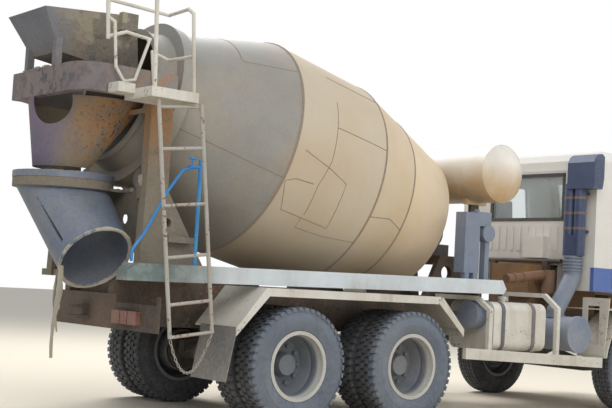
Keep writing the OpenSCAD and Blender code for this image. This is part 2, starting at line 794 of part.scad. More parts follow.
// rear face of the gearbox, and half the engine's width
gearbox_back = 3420;
engine_y = 300;
// right face of the cover over the engine's rear
cover_y = -370;

module engine() color([0.45, 0.30, 0.16]) on_truck() {
    rear = 4030;
    web_in = rail_y - 10;
    block([rear, -engine_y, 640], [5200, engine_y, 1490]);
    block([3900, cover_y, 1250], [4130, 180, 1590]);
    block([5420, -330, 720], [5560, 330, 1290]);
    // mounts to the frame: place along it, half width of what is held
    for (m = [[3560, 150], [4420, engine_y], [5040, engine_y], [5450, 330]])
        both() block([m[0], m[1] - 1, 880], [m[0] + 80, web_in, 940]);
    // gearbox behind the engine
    translate([rear, 0, 850]) rotate([0, -90, 0]) cylinder(h = 180, r1 = 230, r2 = 170);
    block([gearbox_back, -150, 690], [3850, 150, 1000]);
}

module exhaust() color(rust) on_truck() {
    pipe([[4060, cover_y, 1400], [4060, -470, 1400], [3880, -560, 1470], [3320, -560, 1400]], 50);
    // clamps on the pipe, then the upright can beside it
    for (x = [3420, 3560]) translate([x, -560, 1400 + (x - 3320) / 8]) rotate([0, 90 - 7.1, 0])
        cylinder(h = 24, r = 57);
    translate([4020, -560, 1270]) cylinder(h = 260, r = 75);
}

// underside of the snorkel, where it rests on the bellows
snorkel_z = 1700;

// middle of the intake duct
duct_x = cab_back - 115;
duct_y = -800;

module snorkel() color(blue) on_truck() {
    pipe_r = 64;
    ys = [duct_y + 70, duct_y - 70];
    for (y = ys) translate([duct_x, y, snorkel_z]) cylinder(h = 800, r = pipe_r);
    block([duct_x - pipe_r, ys[1], snorkel_z], [duct_x + pipe_r, ys[0], 1930]);
    // hood with a rounded shoulder
    slab(-1100, -740, [[duct_x - 80, 2440], [duct_x + 80, 2440], [duct_x + 105, 2560],
        [duct_x + 105, 2800], [duct_x + 60, 2830], [duct_x, 2822], [duct_x - 50, 2790],
        [duct_x - 80, 2730]]);
    // straps to the cab's rear wall
    for (z = [1960, 2380]) block([duct_x + 40, duct_y - 110, z], [cab_back, duct_y + 110, z + 30]);
}

module air_cleaner() color([0.50, 0.55, 0.60]) on_truck() {
    x = 3870;
    z = 845;
    r = 185;
    near = -1120;
    duct_r = 94;
    translate([x, near, z]) rotate([-90, 0, 0]) cylinder(h = 480, r = r);
    translate([x, near - 15, z]) rotate([-90, 0, 0]) cylinder(h = 40, r = r + 12);
    // duct and bellows under the snorkel
    pipe([[x, duct_y, z + 150], [x, duct_y, z + 240], [duct_x, duct_y, 1460],
        [duct_x, duct_y, snorkel_z - 0.3]], duct_r);
    for (z = [1530:36:1674]) translate([duct_x, duct_y, z]) cylinder(h = 18, r = duct_r + 13);
    translate([x, duct_y, z + 168]) cylinder(h = 30, r = duct_r + 10);
    block([x - 60, near + 480, z - 40], [x + 60, -rail_y, z + 40]);
}

module fuel_tank() color(cream) on_truck() {
    x0 = 2500;
    x1 = 3290;
    y0 = -1150;
    y1 = -540;
    z0 = 660;
    z1 = 1150;
    band = 45;
    translate([x0, 0, 0]) tank_bar(x1 - x0, [y0, z0], [y1, z1], 0);
    // straps round the tank and the brackets behind them
    for (x = [x0 + 115, x1 - 215]) {
        translate([x, 0, 0]) tank_bar(band, [y0, z0], [y1, z1], 5);
        block([x, y1 - 1, z0 + 100], [x + band, -rail_y, z0 + 160]);
    }
    // filler neck and cap
    translate([x0 + 270, y0 + 150, z1 - 1]) cylinder(h = 35, r = 32);
    translate([x0 + 270, y0 + 150, z1 + 30]) cylinder(h = 28, r = 45);
}

// a bar along X whose section is a box with round corners, grown by g
module tank_bar(length, low, high, g) rotate([90, 0, 90]) linear_extrude(length) union() {
    r = 90;
    translate([low[0] + r, low[1] - g]) square([high[0] - low[0] - 2 * r, high[1] - low[1] + 2 * g]);
    translate([low[0] - g, low[1] + r]) square([high[0] - low[0] + 2 * g, high[1] - low[1] - 2 * r]);
    for (y = [low[0] + r, high[0] - r], z = [low[1] + r, high[1] - r])
        translate([y, z]) circle(r = r + g);
}

module side_guards() color(cream) on_truck() {
    y = 1200;
    t = 45;
    both() slab(y - t, y, [[2065, 584], [4200, 498], [4200, 605], [2065, 690]]);
    // hoops that hold the bar: place along the truck, height of the bend and of the top
    for (h = [[2380, 1075, 1200], [3415, 1120, 1262]])
        both() translate([h[0], 0, 0]) rotate([90, 0, 90]) linear_extrude(50)
            polygon([[y, 570], [y, h[1]], [y - 190, h[2]], [rail_y, h[2]], [rail_y, 900],
                [rail_y + t, 900], [rail_y + t, h[2] - t], [y - 205, h[2] - t],
                [y - t, h[1] - 20], [y - t, 570]]);
}

module air_tanks() color(steel) on_truck() {
    both() translate([2350, 925, 1010]) rotate([0, 90, 0]) cylinder(h = 140, r = 140);
    both() block([2440, rail_y, 985], [2480, 790, 1035]);
}

module battery_box() color(dark) on_truck() {
    block([2640, 560, 680], [3260, 1130, 1060]);
    block([2700, rail_y, 800], [3200, 560, 860]);
}

module oil_reservoir() color(steel) on_truck() {
    // legs that follow the side beam's slope: low corner, high corner in X, then in Y
    for (leg = [[2210, 2270, -1000, -950], [2330, 2390, -1000, -950], [2540, 2600, -950, -880]])
        slab(leg[2], leg[3], [[leg[0], on_beam(leg[0])], [leg[1], on_beam(leg[1])],
            [leg[1], 1560], [leg[0], 1560]]);
    block([2190, -1000, 1425], [2400, -860, 2030]);
    // filter box with its cap, and the round pump on its post
    block([2399, -955, 1905], [2610, -865, 2050]);
    translate([2440, -910, 2049]) cylinder(h = 25, r = 28);
    block([2540, -950, 1559], [2600, -880, 1906]);
    translate([2570, -860, 1838]) rotate([90, 0, 0]) cylinder(h = 110, r = 88);
}

// height just above the side beam's top face at a place along the truck
function on_beam(x) = beam_z + beam_h + beam_lift(x) + 0.05;

module water_tank() color(cream) on_truck() translate([water_x, 0, water_z]) {
    dome = 120;
    cap_r = (water_r * water_r + dome * dome) / (2 * dome);
    straight = water_y - dome;
    rotate([90, 0, 0]) cylinder(h = 2 * straight, r = water_r, center = true);
    both() intersection() {
        translate([0, water_y - cap_r, 0]) sphere(r = cap_r);
        block([-water_r - 1, straight, -water_r - 1], [water_r + 1, water_y + 1, water_r + 1]);
    }
    // saddles
    both() difference() {
        block([-150, 500, -water_r - 20], [150, 560, -water_r + 60]);
        rotate([90, 0, 0]) cylinder(h = 3000, r = water_r, center = true);
    }
}

// Cab

front_x = bumper_x + 50;
screen_z = 1990;
screen_top = roof_z - 120;
side_profile = [[cab_back, cab_z], [front_x - wall, cab_z], [front_x - wall, cab_pivot_z + 70],
    [front_x, cab_pivot_z + 70], [front_x, screen_z - 60], [front_x - 190, screen_top],
    [front_x - 260, roof_z - 30], [front_x - 420, roof_z], [cab_back + 120, roof_z],
    [cab_back + 30, roof_z - 35], [cab_back, roof_z - 110]];
door_back = cab_back + 330;
door_front = front_x - 480;
door_low = cab_z + 50;
door_top = roof_z - 190;
door_profile = [[door_back, door_low], [door_front, door_low], [door_front, screen_z - 40],
    [door_front - 90, door_top], [door_back, door_top]];
// door hinges: the axis in X and Y, the barrels' heights and length
hinge_x = door_front + gap / 2;
hinge_y = cab_y + 16;
hinge_r = 12;
hinge_pin = 6;
hinge_len = 60;
hinge_zs = [door_low + 90, screen_z - 130];

// the cab's outer form, drawn in by t
module cab_form(t) intersection() {
    slab(t - cab_y, cab_y - t, [for (p = side_profile) p]);
    translate([-9000, 0, 0]) rotate([90, 0, 90]) linear_extrude(18000) hull() {
        translate([t - cab_y, 500]) square([2 * (cab_y - t), 2000]);
        for (s = [-1, 1]) translate([s * (cab_y - 150), roof_z - 130]) circle(r = 130 - t + 20);
    }
}

module cab_inside() intersection() {
    slab(wall - cab_y, cab_y - wall, [[cab_back + wall, cab_z + 40],
        [front_x - wall, cab_z + 40], [front_x - wall, screen_z - 60],
        [front_x - 190 - wall, screen_top - 20], [front_x - 430, roof_z - wall],
        [cab_back + 130, roof_z - wall], [cab_back + wall, roof_z - 120]]);
}

module door_opening(grow) translate([0, cab_y + 10, 0]) rotate([90, 0, 0])
    linear_extrude(wall + 40) offset(delta = grow) polygon(door_profile);

module screen_cut() block([front_x - 400, 60 - cab_y + 60, screen_z + 10],
    [front_x + 10, cab_y - 120, screen_top - 40]);

module back_cut() block([cab_back - 1, -530, 2130], [cab_back + wall + 1, 530, 2620]);

module cab_shell() color(cream) on_truck() {
    tunnel_y = 400;
    tunnel_front = 5320;
    tunnel_z = 1600;
    // recess under the rear wall
    recess = 110;
    recess_y = 650;
    recess_z = 1660;
    difference() {
        cab_form(0);
        difference() {
            cab_inside();
            block([cab_back, -tunnel_y - 20, cab_z], [tunnel_front + 20, tunnel_y + 20,
                tunnel_z + 20]);
            block([cab_back, -recess_y - 40, cab_z], [cab_back + recess + 40, recess_y + 40,
                recess_z + 40]);
        }
        block([cab_back - 1, -tunnel_y, cab_z - 1], [tunnel_front, tunnel_y, tunnel_z]);
        block([cab_back - 1, -recess_y, cab_z - 1], [cab_back + recess, recess_y, recess_z]);
        both() door_opening(gap);
        screen_cut();
        back_cut();
    }
    // pressed ribs, a crease above the window and a ribbed box on the rear wall
    for (y = [-480:110:620]) block([cab_back - 8, y, 1760], [cab_back + 1, y + 55, 2040]);
    block([cab_back - 6, 100 - cab_y, 2672], [cab_back + 1, cab_y - 100, 2692]);
    block([cab_back - 95, -350, 1672], [cab_back + 1, -50, 1920]);
    // hinge pins for the doors, held above and below the barrels
    both() for (z = hinge_zs) {
        bar([hinge_x, hinge_y, z - 12], [hinge_x, hinge_y, z + hinge_len + 12], hinge_pin);
        for (lug = [z - 14, z + hinge_len + shaft_gap]) {
            translate([hinge_x, hinge_y, lug]) cylinder(h = 13, r = hinge_r);
            block([hinge_x + gap, cab_y, lug], [hinge_x + 50, hinge_y + 4, lug + 13]);
            block([hinge_x, hinge_y - 4, lug], [hinge_x + gap + 1, hinge_y + 4, lug + 13]);
        }
    }
    // pivot lugs
    both() difference() {
        slab(rail_y - 52, rail_y - 28, [[cab_pivot_x - 40, cab_z + 1], [cab_pivot_x + 60, cab_z + 1],
            [cab_pivot_x + 28, cab_pivot_z - 30], [cab_pivot_x - 28, cab_pivot_z - 30]]);
        translate([cab_pivot_x, 0, cab_pivot_z]) rotate([-90, 0, 0])
            cylinder(h = 900, r = 12 + shaft_gap);
    }
}

module cab_glass() color([0.35, 0.42, 0.45]) on_truck() {
    slope = (screen_top - screen_z + 60) / 190;
    lean = [[front_x - 20, screen_z - 60], [front_x - 12, screen_z - 60],
        [front_x - 202, screen_top], [front_x - 210, screen_top]];
    intersection() {
        slab(-cab_y, cab_y, lean);
        screen_cut();
    }
    block([cab_back + 20, -530, 2130], [cab_back + 28, 530, 2620]);
}

module door() {
    difference() {
        translate([0, cab_y, 0]) rotate([90, 0, 0]) linear_extrude(wall) polygon(door_profile);
        translate([0, cab_y + 1, 0]) rotate([90, 0, 0]) linear_extrude(wall + 2)
            polygon([[door_back + 80, screen_z], [door_front - 90, screen_z],
                [door_front - 160, door_top - 80], [door_back + 80, door_top - 80]]);
    }
    // hinge barrels and their leaves
    for (z = hinge_zs) difference() {
        union() {
            translate([hinge_x, hinge_y, z]) cylinder(h = hinge_len, r = hinge_r);
            block([door_front - 60, cab_y, z], [hinge_x - gap, hinge_y + 4, z + hinge_len]);
            block([hinge_x - gap - 1, hinge_y - 4, z], [hinge_x, hinge_y + 4, z + hinge_len]);
        }
        translate([hinge_x, hinge_y, z - 1]) cylinder(h = hinge_len + 2,
            r = hinge_pin + shaft_gap);
    }
    // handle
    block([door_back + 60, cab_y - 1, screen_z - 130], [door_back + 200, cab_y + 25,
        screen_z - 95]);
}

module cab_interior() color(black) on_truck() {
    floor_z = cab_z + 40;
    // seats on each side of the engine tunnel
    both() {
        block([4530, 470, floor_z], [4990, 910, floor_z + 250]);
        block([4510, 450, floor_z + 250], [5030, 930, floor_z + 390]);
        slab(450, 930, [[4430, floor_z + 390], [4560, floor_z + 390], [4510, floor_z + 1000],
            [4430, floor_z + 1000]]);
    }
    slab(60 - cab_y, cab_y - 60, [[front_x - 400, 1680], [front_x - wall, 1600],
        [front_x - wall, 1880], [front_x - 230, 1960], [front_x - 400, 1900]]);
    // steering wheel and column
    bar([front_x - 380, -620, 1750], [front_x - 560, -620, 2010], 25);
    translate([front_x - 560, -620, 2010]) rotate([0, -35, 0]) rotate_extrude()
        translate([215, 0]) circle(r = 16);
    translate([front_x - 560, -620, 2010]) rotate([0, -35, 0])
        for (a = [0, 120, 240]) rotate([0, 90, a]) cylinder(h = 215, r = 10);
}

module bumper() color(cream) on_truck() {
    half = 1180;
    low = 560;
    high = 985;
    x1 = bumper_x + bumper_d;
    difference() {
        block([bumper_x, -half, low], [x1, half, high]);
        both() translate([x1 - 10, 880, 780]) rotate([0, 90, 0]) cylinder(h = 20, r = 85);
        both() translate([x1 - 10, 680, 780]) rotate([0, 90, 0]) cylinder(h = 20, r = 85);
        both() block([bumper_x - 1, rail_y - 70, 500], [bumper_x + 100, rail_y - 20,
            rail_z + 10]);
    }
    // step boxes behind the bumper's ends
    both() difference() {
        block([5580, 860, low], [bumper_x, 1150, high]);
        block([5640, 900, low + 60], [bumper_x - 60, 1151, low + 190]);
        block([5640, 900, low + 240], [bumper_x - 60, 1151, high - 50]);
    }
}

module mirrors() color(black) on_truck() both() {
    x = front_x - 130;
    arm_y = 1230;
    foot = 10;
    for (at = [[x, 2050], [x - 60, 2630]])
        bar([at[0], cab_y, at[1]], [at[0], cab_y + foot, at[1]], 24);
    pipe([[x, cab_y + foot - 2, 2050], [x + 40, arm_y, 2080], [x + 40, arm_y, 2600],
        [x - 60, cab_y + foot - 2, 2630]], 12);
    block([x + 10, arm_y - 60, 2180], [x + 70, arm_y + 110, 2520]);
}

frame();
subframe();
side_beams();
fenders();
mudflaps();
lamps();
drum_gearbox();
rear_pedestal();
roller(-1);  // roller_r
roller(1);  // roller_l
drum();
hopper();
hopper_beam();
discharge_funnel();
chute();
platform();
ladder();
wash_pipe();
rear_axles();
front_axle();
springs();
knuckle_r();
knuckle_l();
color(black) wheel_at(front_axle_x, -1) tyre(front_track_y);  // tyre_front_r
color(black) wheel_at(front_axle_x, 1) tyre(front_track_y);  // tyre_front_l
color(black) wheel_at(tandem, -1) twin_tyres();  // tyres_mid_r
color(black) wheel_at(tandem, 1) twin_tyres();  // tyres_mid_l
color(black) wheel_at(0, -1) twin_tyres();  // tyres_rear_r
color(black) wheel_at(0, 1) twin_tyres();  // tyres_rear_l
color(cream) wheel_at(front_axle_x, -1) front_rim();  // rim_front_r
color(cream) wheel_at(front_axle_x, 1) front_rim();  // rim_front_l
color(cream) wheel_at(tandem, -1) twin_rims();  // rims_mid_r
color(cream) wheel_at(tandem, 1) twin_rims();  // rims_mid_l
color(cream) wheel_at(0, -1) twin_rims();  // rims_rear_r
color(cream) wheel_at(0, 1) twin_rims();  // rims_rear_l
propshafts();
engine();
exhaust();
snorkel();
air_cleaner();
fuel_tank();
side_guards();
air_tanks();
battery_box();
oil_reservoir();
water_tank();
cab_shell();
cab_glass();
color(cream) on_truck() mirror([0, 1, 0]) door();  // door_r
color(cream) on_truck() door();  // door_l
cab_interior();
bumper();
mirrors();
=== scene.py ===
import math

import bpy
import numpy as np
from mathutils import Matrix, Vector


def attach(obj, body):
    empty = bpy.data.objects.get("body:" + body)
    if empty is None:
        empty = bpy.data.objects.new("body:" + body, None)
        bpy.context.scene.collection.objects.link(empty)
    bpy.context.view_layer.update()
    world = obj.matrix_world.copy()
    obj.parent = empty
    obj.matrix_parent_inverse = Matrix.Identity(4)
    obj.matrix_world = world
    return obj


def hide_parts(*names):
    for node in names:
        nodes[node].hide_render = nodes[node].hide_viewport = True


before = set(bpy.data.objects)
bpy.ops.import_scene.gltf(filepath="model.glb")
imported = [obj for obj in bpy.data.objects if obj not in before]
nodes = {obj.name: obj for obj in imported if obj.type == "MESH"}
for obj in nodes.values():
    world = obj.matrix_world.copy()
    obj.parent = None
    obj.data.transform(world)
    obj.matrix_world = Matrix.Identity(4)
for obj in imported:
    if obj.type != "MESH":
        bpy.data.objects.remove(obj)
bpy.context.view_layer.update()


# The photograph's viewpoint: a person's eye height, off the truck's right rear corner.
# The place and the turn come from the wheels, the side beam, the drum and the ladder.
view_from = Vector((-8.4231, -9.2058, 1.2149))
view_yaw, view_pitch, view_roll = (math.radians(a) for a in (51.271, 3.879, 3.236))
ahead = Vector((
    math.cos(view_yaw) * math.cos(view_pitch),
    math.sin(view_yaw) * math.cos(view_pitch),
    math.sin(view_pitch),
))
across = Vector((math.sin(view_yaw), -math.cos(view_yaw), 0))
upward = across.cross(ahead)
right = math.cos(view_roll) * across + math.sin(view_roll) * upward
top = -math.sin(view_roll) * across + math.cos(view_roll) * upward
lens = bpy.data.cameras.new("view")
lens.sensor_width = 36
lens.lens = 69.84
lens.clip_end = 200
camera = bpy.data.objects.new("view", lens)
view_turn = Matrix((right, top, -ahead)).transposed().to_4x4()
camera.matrix_world = Matrix.Translation(view_from) @ view_turn
bpy.context.scene.collection.objects.link(camera)
bpy.context.scene.camera = camera
bpy.context.scene.view_settings.view_transform = "Standard"


# A plain pale floor and a white sky, with soft lamps high on both sides of the truck.
# The sky lights the truck evenly, and shows white to the camera, in glass and in gloss.
floor_mesh = bpy.data.meshes.new("floor")
floor_half = 60
floor_mesh.from_pydata(
    [(x * floor_half, y * floor_half, 0) for x, y in ((-1, -1), (1, -1), (1, 1), (-1, 1))],
    [],
    [(0, 1, 2, 3)],
)
floor = bpy.data.objects.new("floor", floor_mesh)
bpy.context.scene.collection.objects.link(floor)
floor_paint = bpy.data.materials.new("floor")
floor_paint.use_nodes = True
floor_shader = floor_paint.node_tree.nodes["Principled BSDF"]
floor_shader.inputs["Base Color"].default_value = (0.80, 0.71, 0.58, 1)
floor_shader.inputs["Roughness"].default_value = 0.9
floor_mesh.materials.append(floor_paint)

sky = bpy.data.worlds.new("sky")
bpy.context.scene.world = sky
sky.use_nodes = True
sky_nodes, sky_links = sky.node_tree.nodes, sky.node_tree.links
sky_nodes.clear()
sky_out = sky_nodes.new("ShaderNodeOutputWorld")
light = sky_nodes.new("ShaderNodeBackground")
light.inputs["Color"].default_value = (0.82, 0.91, 1.0, 1)
light.inputs["Strength"].default_value = 0.55
shown = sky_nodes.new("ShaderNodeBackground")
shown.inputs["Color"].default_value = (1, 1, 1, 1)
shown.inputs["Strength"].default_value = 1.0
ray = sky_nodes.new("ShaderNodeLightPath")
seen = sky_nodes.new("ShaderNodeMath")
seen.operation = "MAXIMUM"
seen_all = sky_nodes.new("ShaderNodeMath")
seen_all.operation = "MAXIMUM"
mix = sky_nodes.new("ShaderNodeMixShader")
sky_links.new(ray.outputs["Is Camera Ray"], seen.inputs[0])
sky_links.new(ray.outputs["Is Glossy Ray"], seen.inputs[1])
sky_links.new(seen.outputs[0], seen_all.inputs[0])
sky_links.new(ray.outputs["Is Transmission Ray"], seen_all.inputs[1])
sky_links.new(seen_all.outputs[0], mix.inputs[0])
sky_links.new(light.outputs[0], mix.inputs[1])
sky_links.new(shown.outputs[0], mix.inputs[2])
sky_links.new(mix.outputs[0], sky_out.inputs["Surface"])

# name: place, size, power
lamps = {
    "lamp_right_rear": ((-7, -9, 9), 8, 620),
    "lamp_front": ((9, -6, 8), 8, 500),
    "lamp_left": ((1, 7, 11), 7, 1100),
    "lamp_under": ((-4, -9, 1.5), 5, 50),
}
for name, (place, size, power) in lamps.items():
    lamp_data = bpy.data.lights.new(name, "AREA")
    lamp_data.size = size
    lamp_data.energy = power
    lamp = bpy.data.objects.new(name, lamp_data)
    lamp.location = place
    lamp.rotation_euler = (Vector((0, 0, 1.4)) - Vector(place)).to_track_quat("-Z", "Y").to_euler()
    bpy.context.scene.collection.objects.link(lamp)


# Years of concrete work: faded paint, rust at chips and in runs, cement dust and wheel dirt.
# One group gives the colour, roughness and height of any such surface; each material sets
# its own paint, rust and dust colours and how much there is of each.
weather = bpy.data.node_groups.new("weathering", "ShaderNodeTree")
weather_inputs = (
    ("Paint", "NodeSocketColor", (0.8, 0.8, 0.8, 1)),
    ("Faded", "NodeSocketColor", (0.7, 0.7, 0.7, 1)),
    ("Rust", "NodeSocketColor", (0.2, 0.09, 0.04, 1)),
    ("Dust", "NodeSocketColor", (0.45, 0.40, 0.33, 1)),
    ("Fade", "NodeSocketFloat", 0.5),
    ("Chips", "NodeSocketFloat", 0.3),
    ("Runs", "NodeSocketFloat", 0.3),
    ("Dusting", "NodeSocketFloat", 0.4),
    ("Splash Height", "NodeSocketFloat", 1.0),
    ("Gloss", "NodeSocketFloat", 0.5),
)
for name, kind, value in weather_inputs:
    socket = weather.interface.new_socket(name=name, in_out="INPUT", socket_type=kind)
    socket.default_value = value
for name, kind in (
    ("Color", "NodeSocketColor"),
    ("Roughness", "NodeSocketFloat"),
    ("Height", "NodeSocketFloat"),
):
    weather.interface.new_socket(name=name, in_out="OUTPUT", socket_type=kind)
given = weather.nodes.new("NodeGroupInput")
result = weather.nodes.new("NodeGroupOutput")
place_in = weather.nodes.new("ShaderNodeTexCoord")


def noise(tree, where, scale, detail, stretch=(1, 1, 1)):
    """A noise texture on the object's own coordinates, stretched along its axes."""
    mapping = tree.nodes.new("ShaderNodeMapping")
    mapping.inputs["Scale"].default_value = stretch
    tree.links.new(where, mapping.inputs["Vector"])
    texture = tree.nodes.new("ShaderNodeTexNoise")
    texture.inputs["Scale"].default_value = scale
    texture.inputs["Detail"].default_value = detail
    texture.inputs["Roughness"].default_value = 0.6
    tree.links.new(mapping.outputs[0], texture.inputs["Vector"])
    return texture.outputs["Fac"]


def span(tree, value, low, high, to_low=0.0, to_high=1.0):
    """Maps low to high onto another range, clamped."""
    node = tree.nodes.new("ShaderNodeMapRange")
    node.inputs["From Min"].default_value = low
    node.inputs["From Max"].default_value = high
    node.inputs["To Min"].default_value = to_low
    node.inputs["To Max"].default_value = to_high
    tree.links.new(value, node.inputs["Value"])
    return node.outputs["Result"]


def math_node(tree, operation, a, b):
    """A Math node on two sockets or numbers, clamped to 0 and 1."""
    node = tree.nodes.new("ShaderNodeMath")
    node.operation = operation
    node.use_clamp = True
    for socket, value in zip(node.inputs, (a, b)):
        if isinstance(value, (int, float)):
            socket.default_value = value
        else:
            tree.links.new(value, socket)
    return node.outputs[0]


def blend_colour(tree, amount, a, b):
    """Mixes colour b over colour a by an amount."""
    node = tree.nodes.new("ShaderNodeMix")
    node.data_type = "RGBA"
    for socket, value in ((node.inputs[0], amount), (node.inputs[6], a), (node.inputs[7], b)):
        if isinstance(value, (int, float)):
            socket.default_value = value
        elif isinstance(value, tuple):
            socket.default_value = (*value[:3], 1)
        else:
            tree.links.new(value, socket)
    return node.outputs[2]


here = place_in.outputs["Object"]
patches = span(weather, noise(weather, here, 1.6, 5), 0.35, 0.65)
mottle = span(weather, noise(weather, here, 9, 6), 0.3, 0.7)
streaks = span(weather, noise(weather, here, 7, 5, (1, 1, 0.09)), 0.5, 0.72)
specks = noise(weather, here, 34, 6)
chip_field = math_node(weather, "ADD", math_node(weather, "MULTIPLY", specks, 0.62),
    math_node(weather, "MULTIPLY", noise(weather, here, 3.1, 4), 0.38))
chip_edge = math_node(weather, "SUBTRACT", 0.72,
    math_node(weather, "MULTIPLY", given.outputs["Chips"], 0.3))
chips = weather.nodes.new("ShaderNodeMapRange")
weather.links.new(chip_field, chips.inputs["Value"])
weather.links.new(chip_edge, chips.inputs["From Min"])
weather.links.new(math_node(weather, "ADD", chip_edge, 0.025), chips.inputs["From Max"])
faded = blend_colour(weather,
    math_node(weather, "MULTIPLY", given.outputs["Fade"],
        math_node(weather, "ADD", math_node(weather, "MULTIPLY", patches, 0.7),
            math_node(weather, "MULTIPLY", mottle, 0.4))),
    given.outputs["Paint"], given.outputs["Faded"])
run_amount = math_node(weather, "MULTIPLY", streaks,
    math_node(weather, "MULTIPLY", given.outputs["Runs"], patches))
with_runs = blend_colour(weather, run_amount, faded, given.outputs["Rust"])
with_chips = blend_colour(weather, chips.outputs["Result"], with_runs, given.outputs["Rust"])
height_above = weather.nodes.new("ShaderNodeSeparateXYZ")
weather.links.new(here, height_above.inputs[0])
low_down = weather.nodes.new("ShaderNodeMapRange")
weather.links.new(height_above.outputs["Z"], low_down.inputs["Value"])
low_down.inputs["From Min"].default_value = 0.2
weather.links.new(given.outputs["Splash Height"], low_down.inputs["From Max"])
low_down.inputs["To Min"].default_value = 1.0
low_down.inputs["To Max"].default_value = 0.35
dust_grain = math_node(weather, "ADD", math_node(weather, "MULTIPLY", patches, 0.5),
    math_node(weather, "MULTIPLY", span(weather, specks, 0.35, 0.7), 0.6))
dust_amount = math_node(weather, "MULTIPLY", dust_grain,
    math_node(weather, "MULTIPLY", given.outputs["Dusting"], low_down.outputs["Result"]))
dusted = blend_colour(weather, dust_amount, with_chips, given.outputs["Dust"])
weather.links.new(dusted, result.inputs["Color"])
dull = math_node(weather, "ADD", given.outputs["Gloss"],
    math_node(weather, "MULTIPLY", math_node(weather, "MAXIMUM", chips.outputs["Result"],
        dust_amount), 0.4))
weather.links.new(dull, result.inputs["Roughness"])
weather.links.new(math_node(weather, "SUBTRACT", math_node(weather, "MULTIPLY", specks, 0.5),
    math_node(weather, "MULTIPLY", chips.outputs["Result"], 0.4)), result.inputs["Height"])

rust_colour = (0.19, 0.085, 0.04)
cement_dust = (0.50, 0.45, 0.37)


def weathered(name, paint, faded, *, fade, chips, runs, dusting, gloss, rust=rust_colour,
              dust=cement_dust, splash=1.4, metal=0.0, bump=0.25, reach=0.01):
    """A painted or bare surface worn by weather, with its own colours and amounts."""
    material = bpy.data.materials.new(name)
    material.use_nodes = True
    tree = material.node_tree
    group = tree.nodes.new("ShaderNodeGroup")
    group.name = "wear"
    group.node_tree = weather
    for socket, colour in (("Paint", paint), ("Faded", faded), ("Rust", rust), ("Dust", dust)):
        group.inputs[socket].default_value = (*colour, 1)
    for socket, value in (("Fade", fade), ("Chips", chips), ("Runs", runs),
                          ("Dusting", dusting), ("Splash Height", splash), ("Gloss", gloss)):
        group.inputs[socket].default_value = value
    shader = tree.nodes["Principled BSDF"]
    tree.links.new(group.outputs["Color"], shader.inputs["Base Color"])
    tree.links.new(group.outputs["Roughness"], shader.inputs["Roughness"])
    shader.inputs["Metallic"].default_value = metal
    relief = tree.nodes.new("ShaderNodeBump")
    relief.inputs["Strength"].default_value = bump
    relief.inputs["Distance"].default_value = reach
    tree.links.new(group.outputs["Height"], relief.inputs["Height"])
    tree.links.new(relief.outputs["Normal"], shader.inputs["Normal"])
    return material


# Frame rails and mixer frame: welded and riveted steel in dark paint gone to rust, with dried
# cement slurry thrown up by the wheels.


def finish_nodes(material, *names):
    """Gives CAD nodes their material."""
    for name in names:
        for slot in nodes[name].material_slots:
            slot.material = material


rusty_frame = weathered("rusty_frame", (0.035, 0.028, 0.024), (0.10, 0.065, 0.045), fade=0.9,
    chips=0.5, runs=0.5, dusting=0.55, splash=1.5, gloss=0.7, bump=0.5,
    dust=(0.25, 0.21, 0.17))
finish_nodes(rusty_frame, "frame", "subframe")


# Axles, springs, knuckles, propshafts, battery box and drum gearbox: cast and forged iron in
# black paint, dulled by road dirt. They are clamped or bolted to the frame and the subframe.
dark_iron = weathered("dark_iron", (0.03, 0.028, 0.026), (0.075, 0.06, 0.05), fade=0.8,
    chips=0.35, runs=0.3, dusting=0.6, splash=1.4, gloss=0.65, bump=0.4,
    dust=(0.25, 0.22, 0.18))
finish_nodes(dark_iron, "rear_axles", "front_axle", "springs", "knuckle_r", "knuckle_l",
    "propshafts", "battery_box", "drum_gearbox")


# Rivets of the frame: two rows of steel button heads along the outer web of each rail. The
# upper row is set about half a step ahead of the lower one.


def wrap(rings, sides, closed=False):
    """Faces round a row of like rings of corners; closed joins the last ring to the first."""
    return [(i * sides + j, i * sides + (j + 1) % sides, (i + 1) % rings * sides + (j + 1) % sides,
             (i + 1) % rings * sides + j)
            for i in range(rings if closed else rings - 1) for j in range(sides)]


def capped(rings, sides):
    """The same with a face over each end."""
    end = (rings - 1) * sides
    return wrap(rings, sides) + [tuple(range(sides))[::-1], tuple(range(end, end + sides))]


def prism(start, direction, length, radius, sides, tip=None):
    """A bar with flat sides, or a cone where the far end has its own radius."""
    along = Vector(direction).normalized()
    side = along.orthogonal().normalized()
    up = along.cross(side)
    corners = []
    for distance, r in ((0, radius), (length, radius if tip is None else tip)):
        for k in range(sides):
            a = 2 * math.pi * k / sides
            corners.append(Vector(start) + along * distance
                           + side * (r * math.cos(a)) + up * (r * math.sin(a)))
    return corners, capped(2, sides)


def piece(name, parts, material, body, smooth=35):
    """Joins parts, each a list of corners and one of faces, into one mesh that rides on a body."""
    corners, faces = [], []
    for part_corners, part_faces in parts:
        faces += [[len(corners) + i for i in face] for face in part_faces]
        corners += [tuple(c) for c in part_corners]
    mesh = bpy.data.meshes.new(name)
    mesh.from_pydata(corners, [], faces)
    mesh.polygons.foreach_set("use_smooth", [True] * len(mesh.polygons))
    mesh.set_sharp_from_angle(angle=math.radians(smooth))
    mesh.materials.append(material)
    made = bpy.data.objects.new(name, mesh)
    bpy.context.scene.collection.objects.link(made)
    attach(made, body)
    return made


rivet_low, rivet_high = 0.83, 1.0
rivet_first, rivet_step, rivet_count = -3.3, 0.155, 46
rail_web = 0.43
rivets = []
for side in (-1, 1):
    for row, shift in ((rivet_low, 0), (rivet_high, 0.07)):
        for k in range(rivet_count):
            x = rivet_first + rivet_step * k + shift
            rivets.append(prism((x, side * rail_web, row), (0, side, 0), length=0.009,
                radius=0.012, sides=8, tip=0.008))
piece("frame_rivets", rivets, rusty_frame, "chassis")


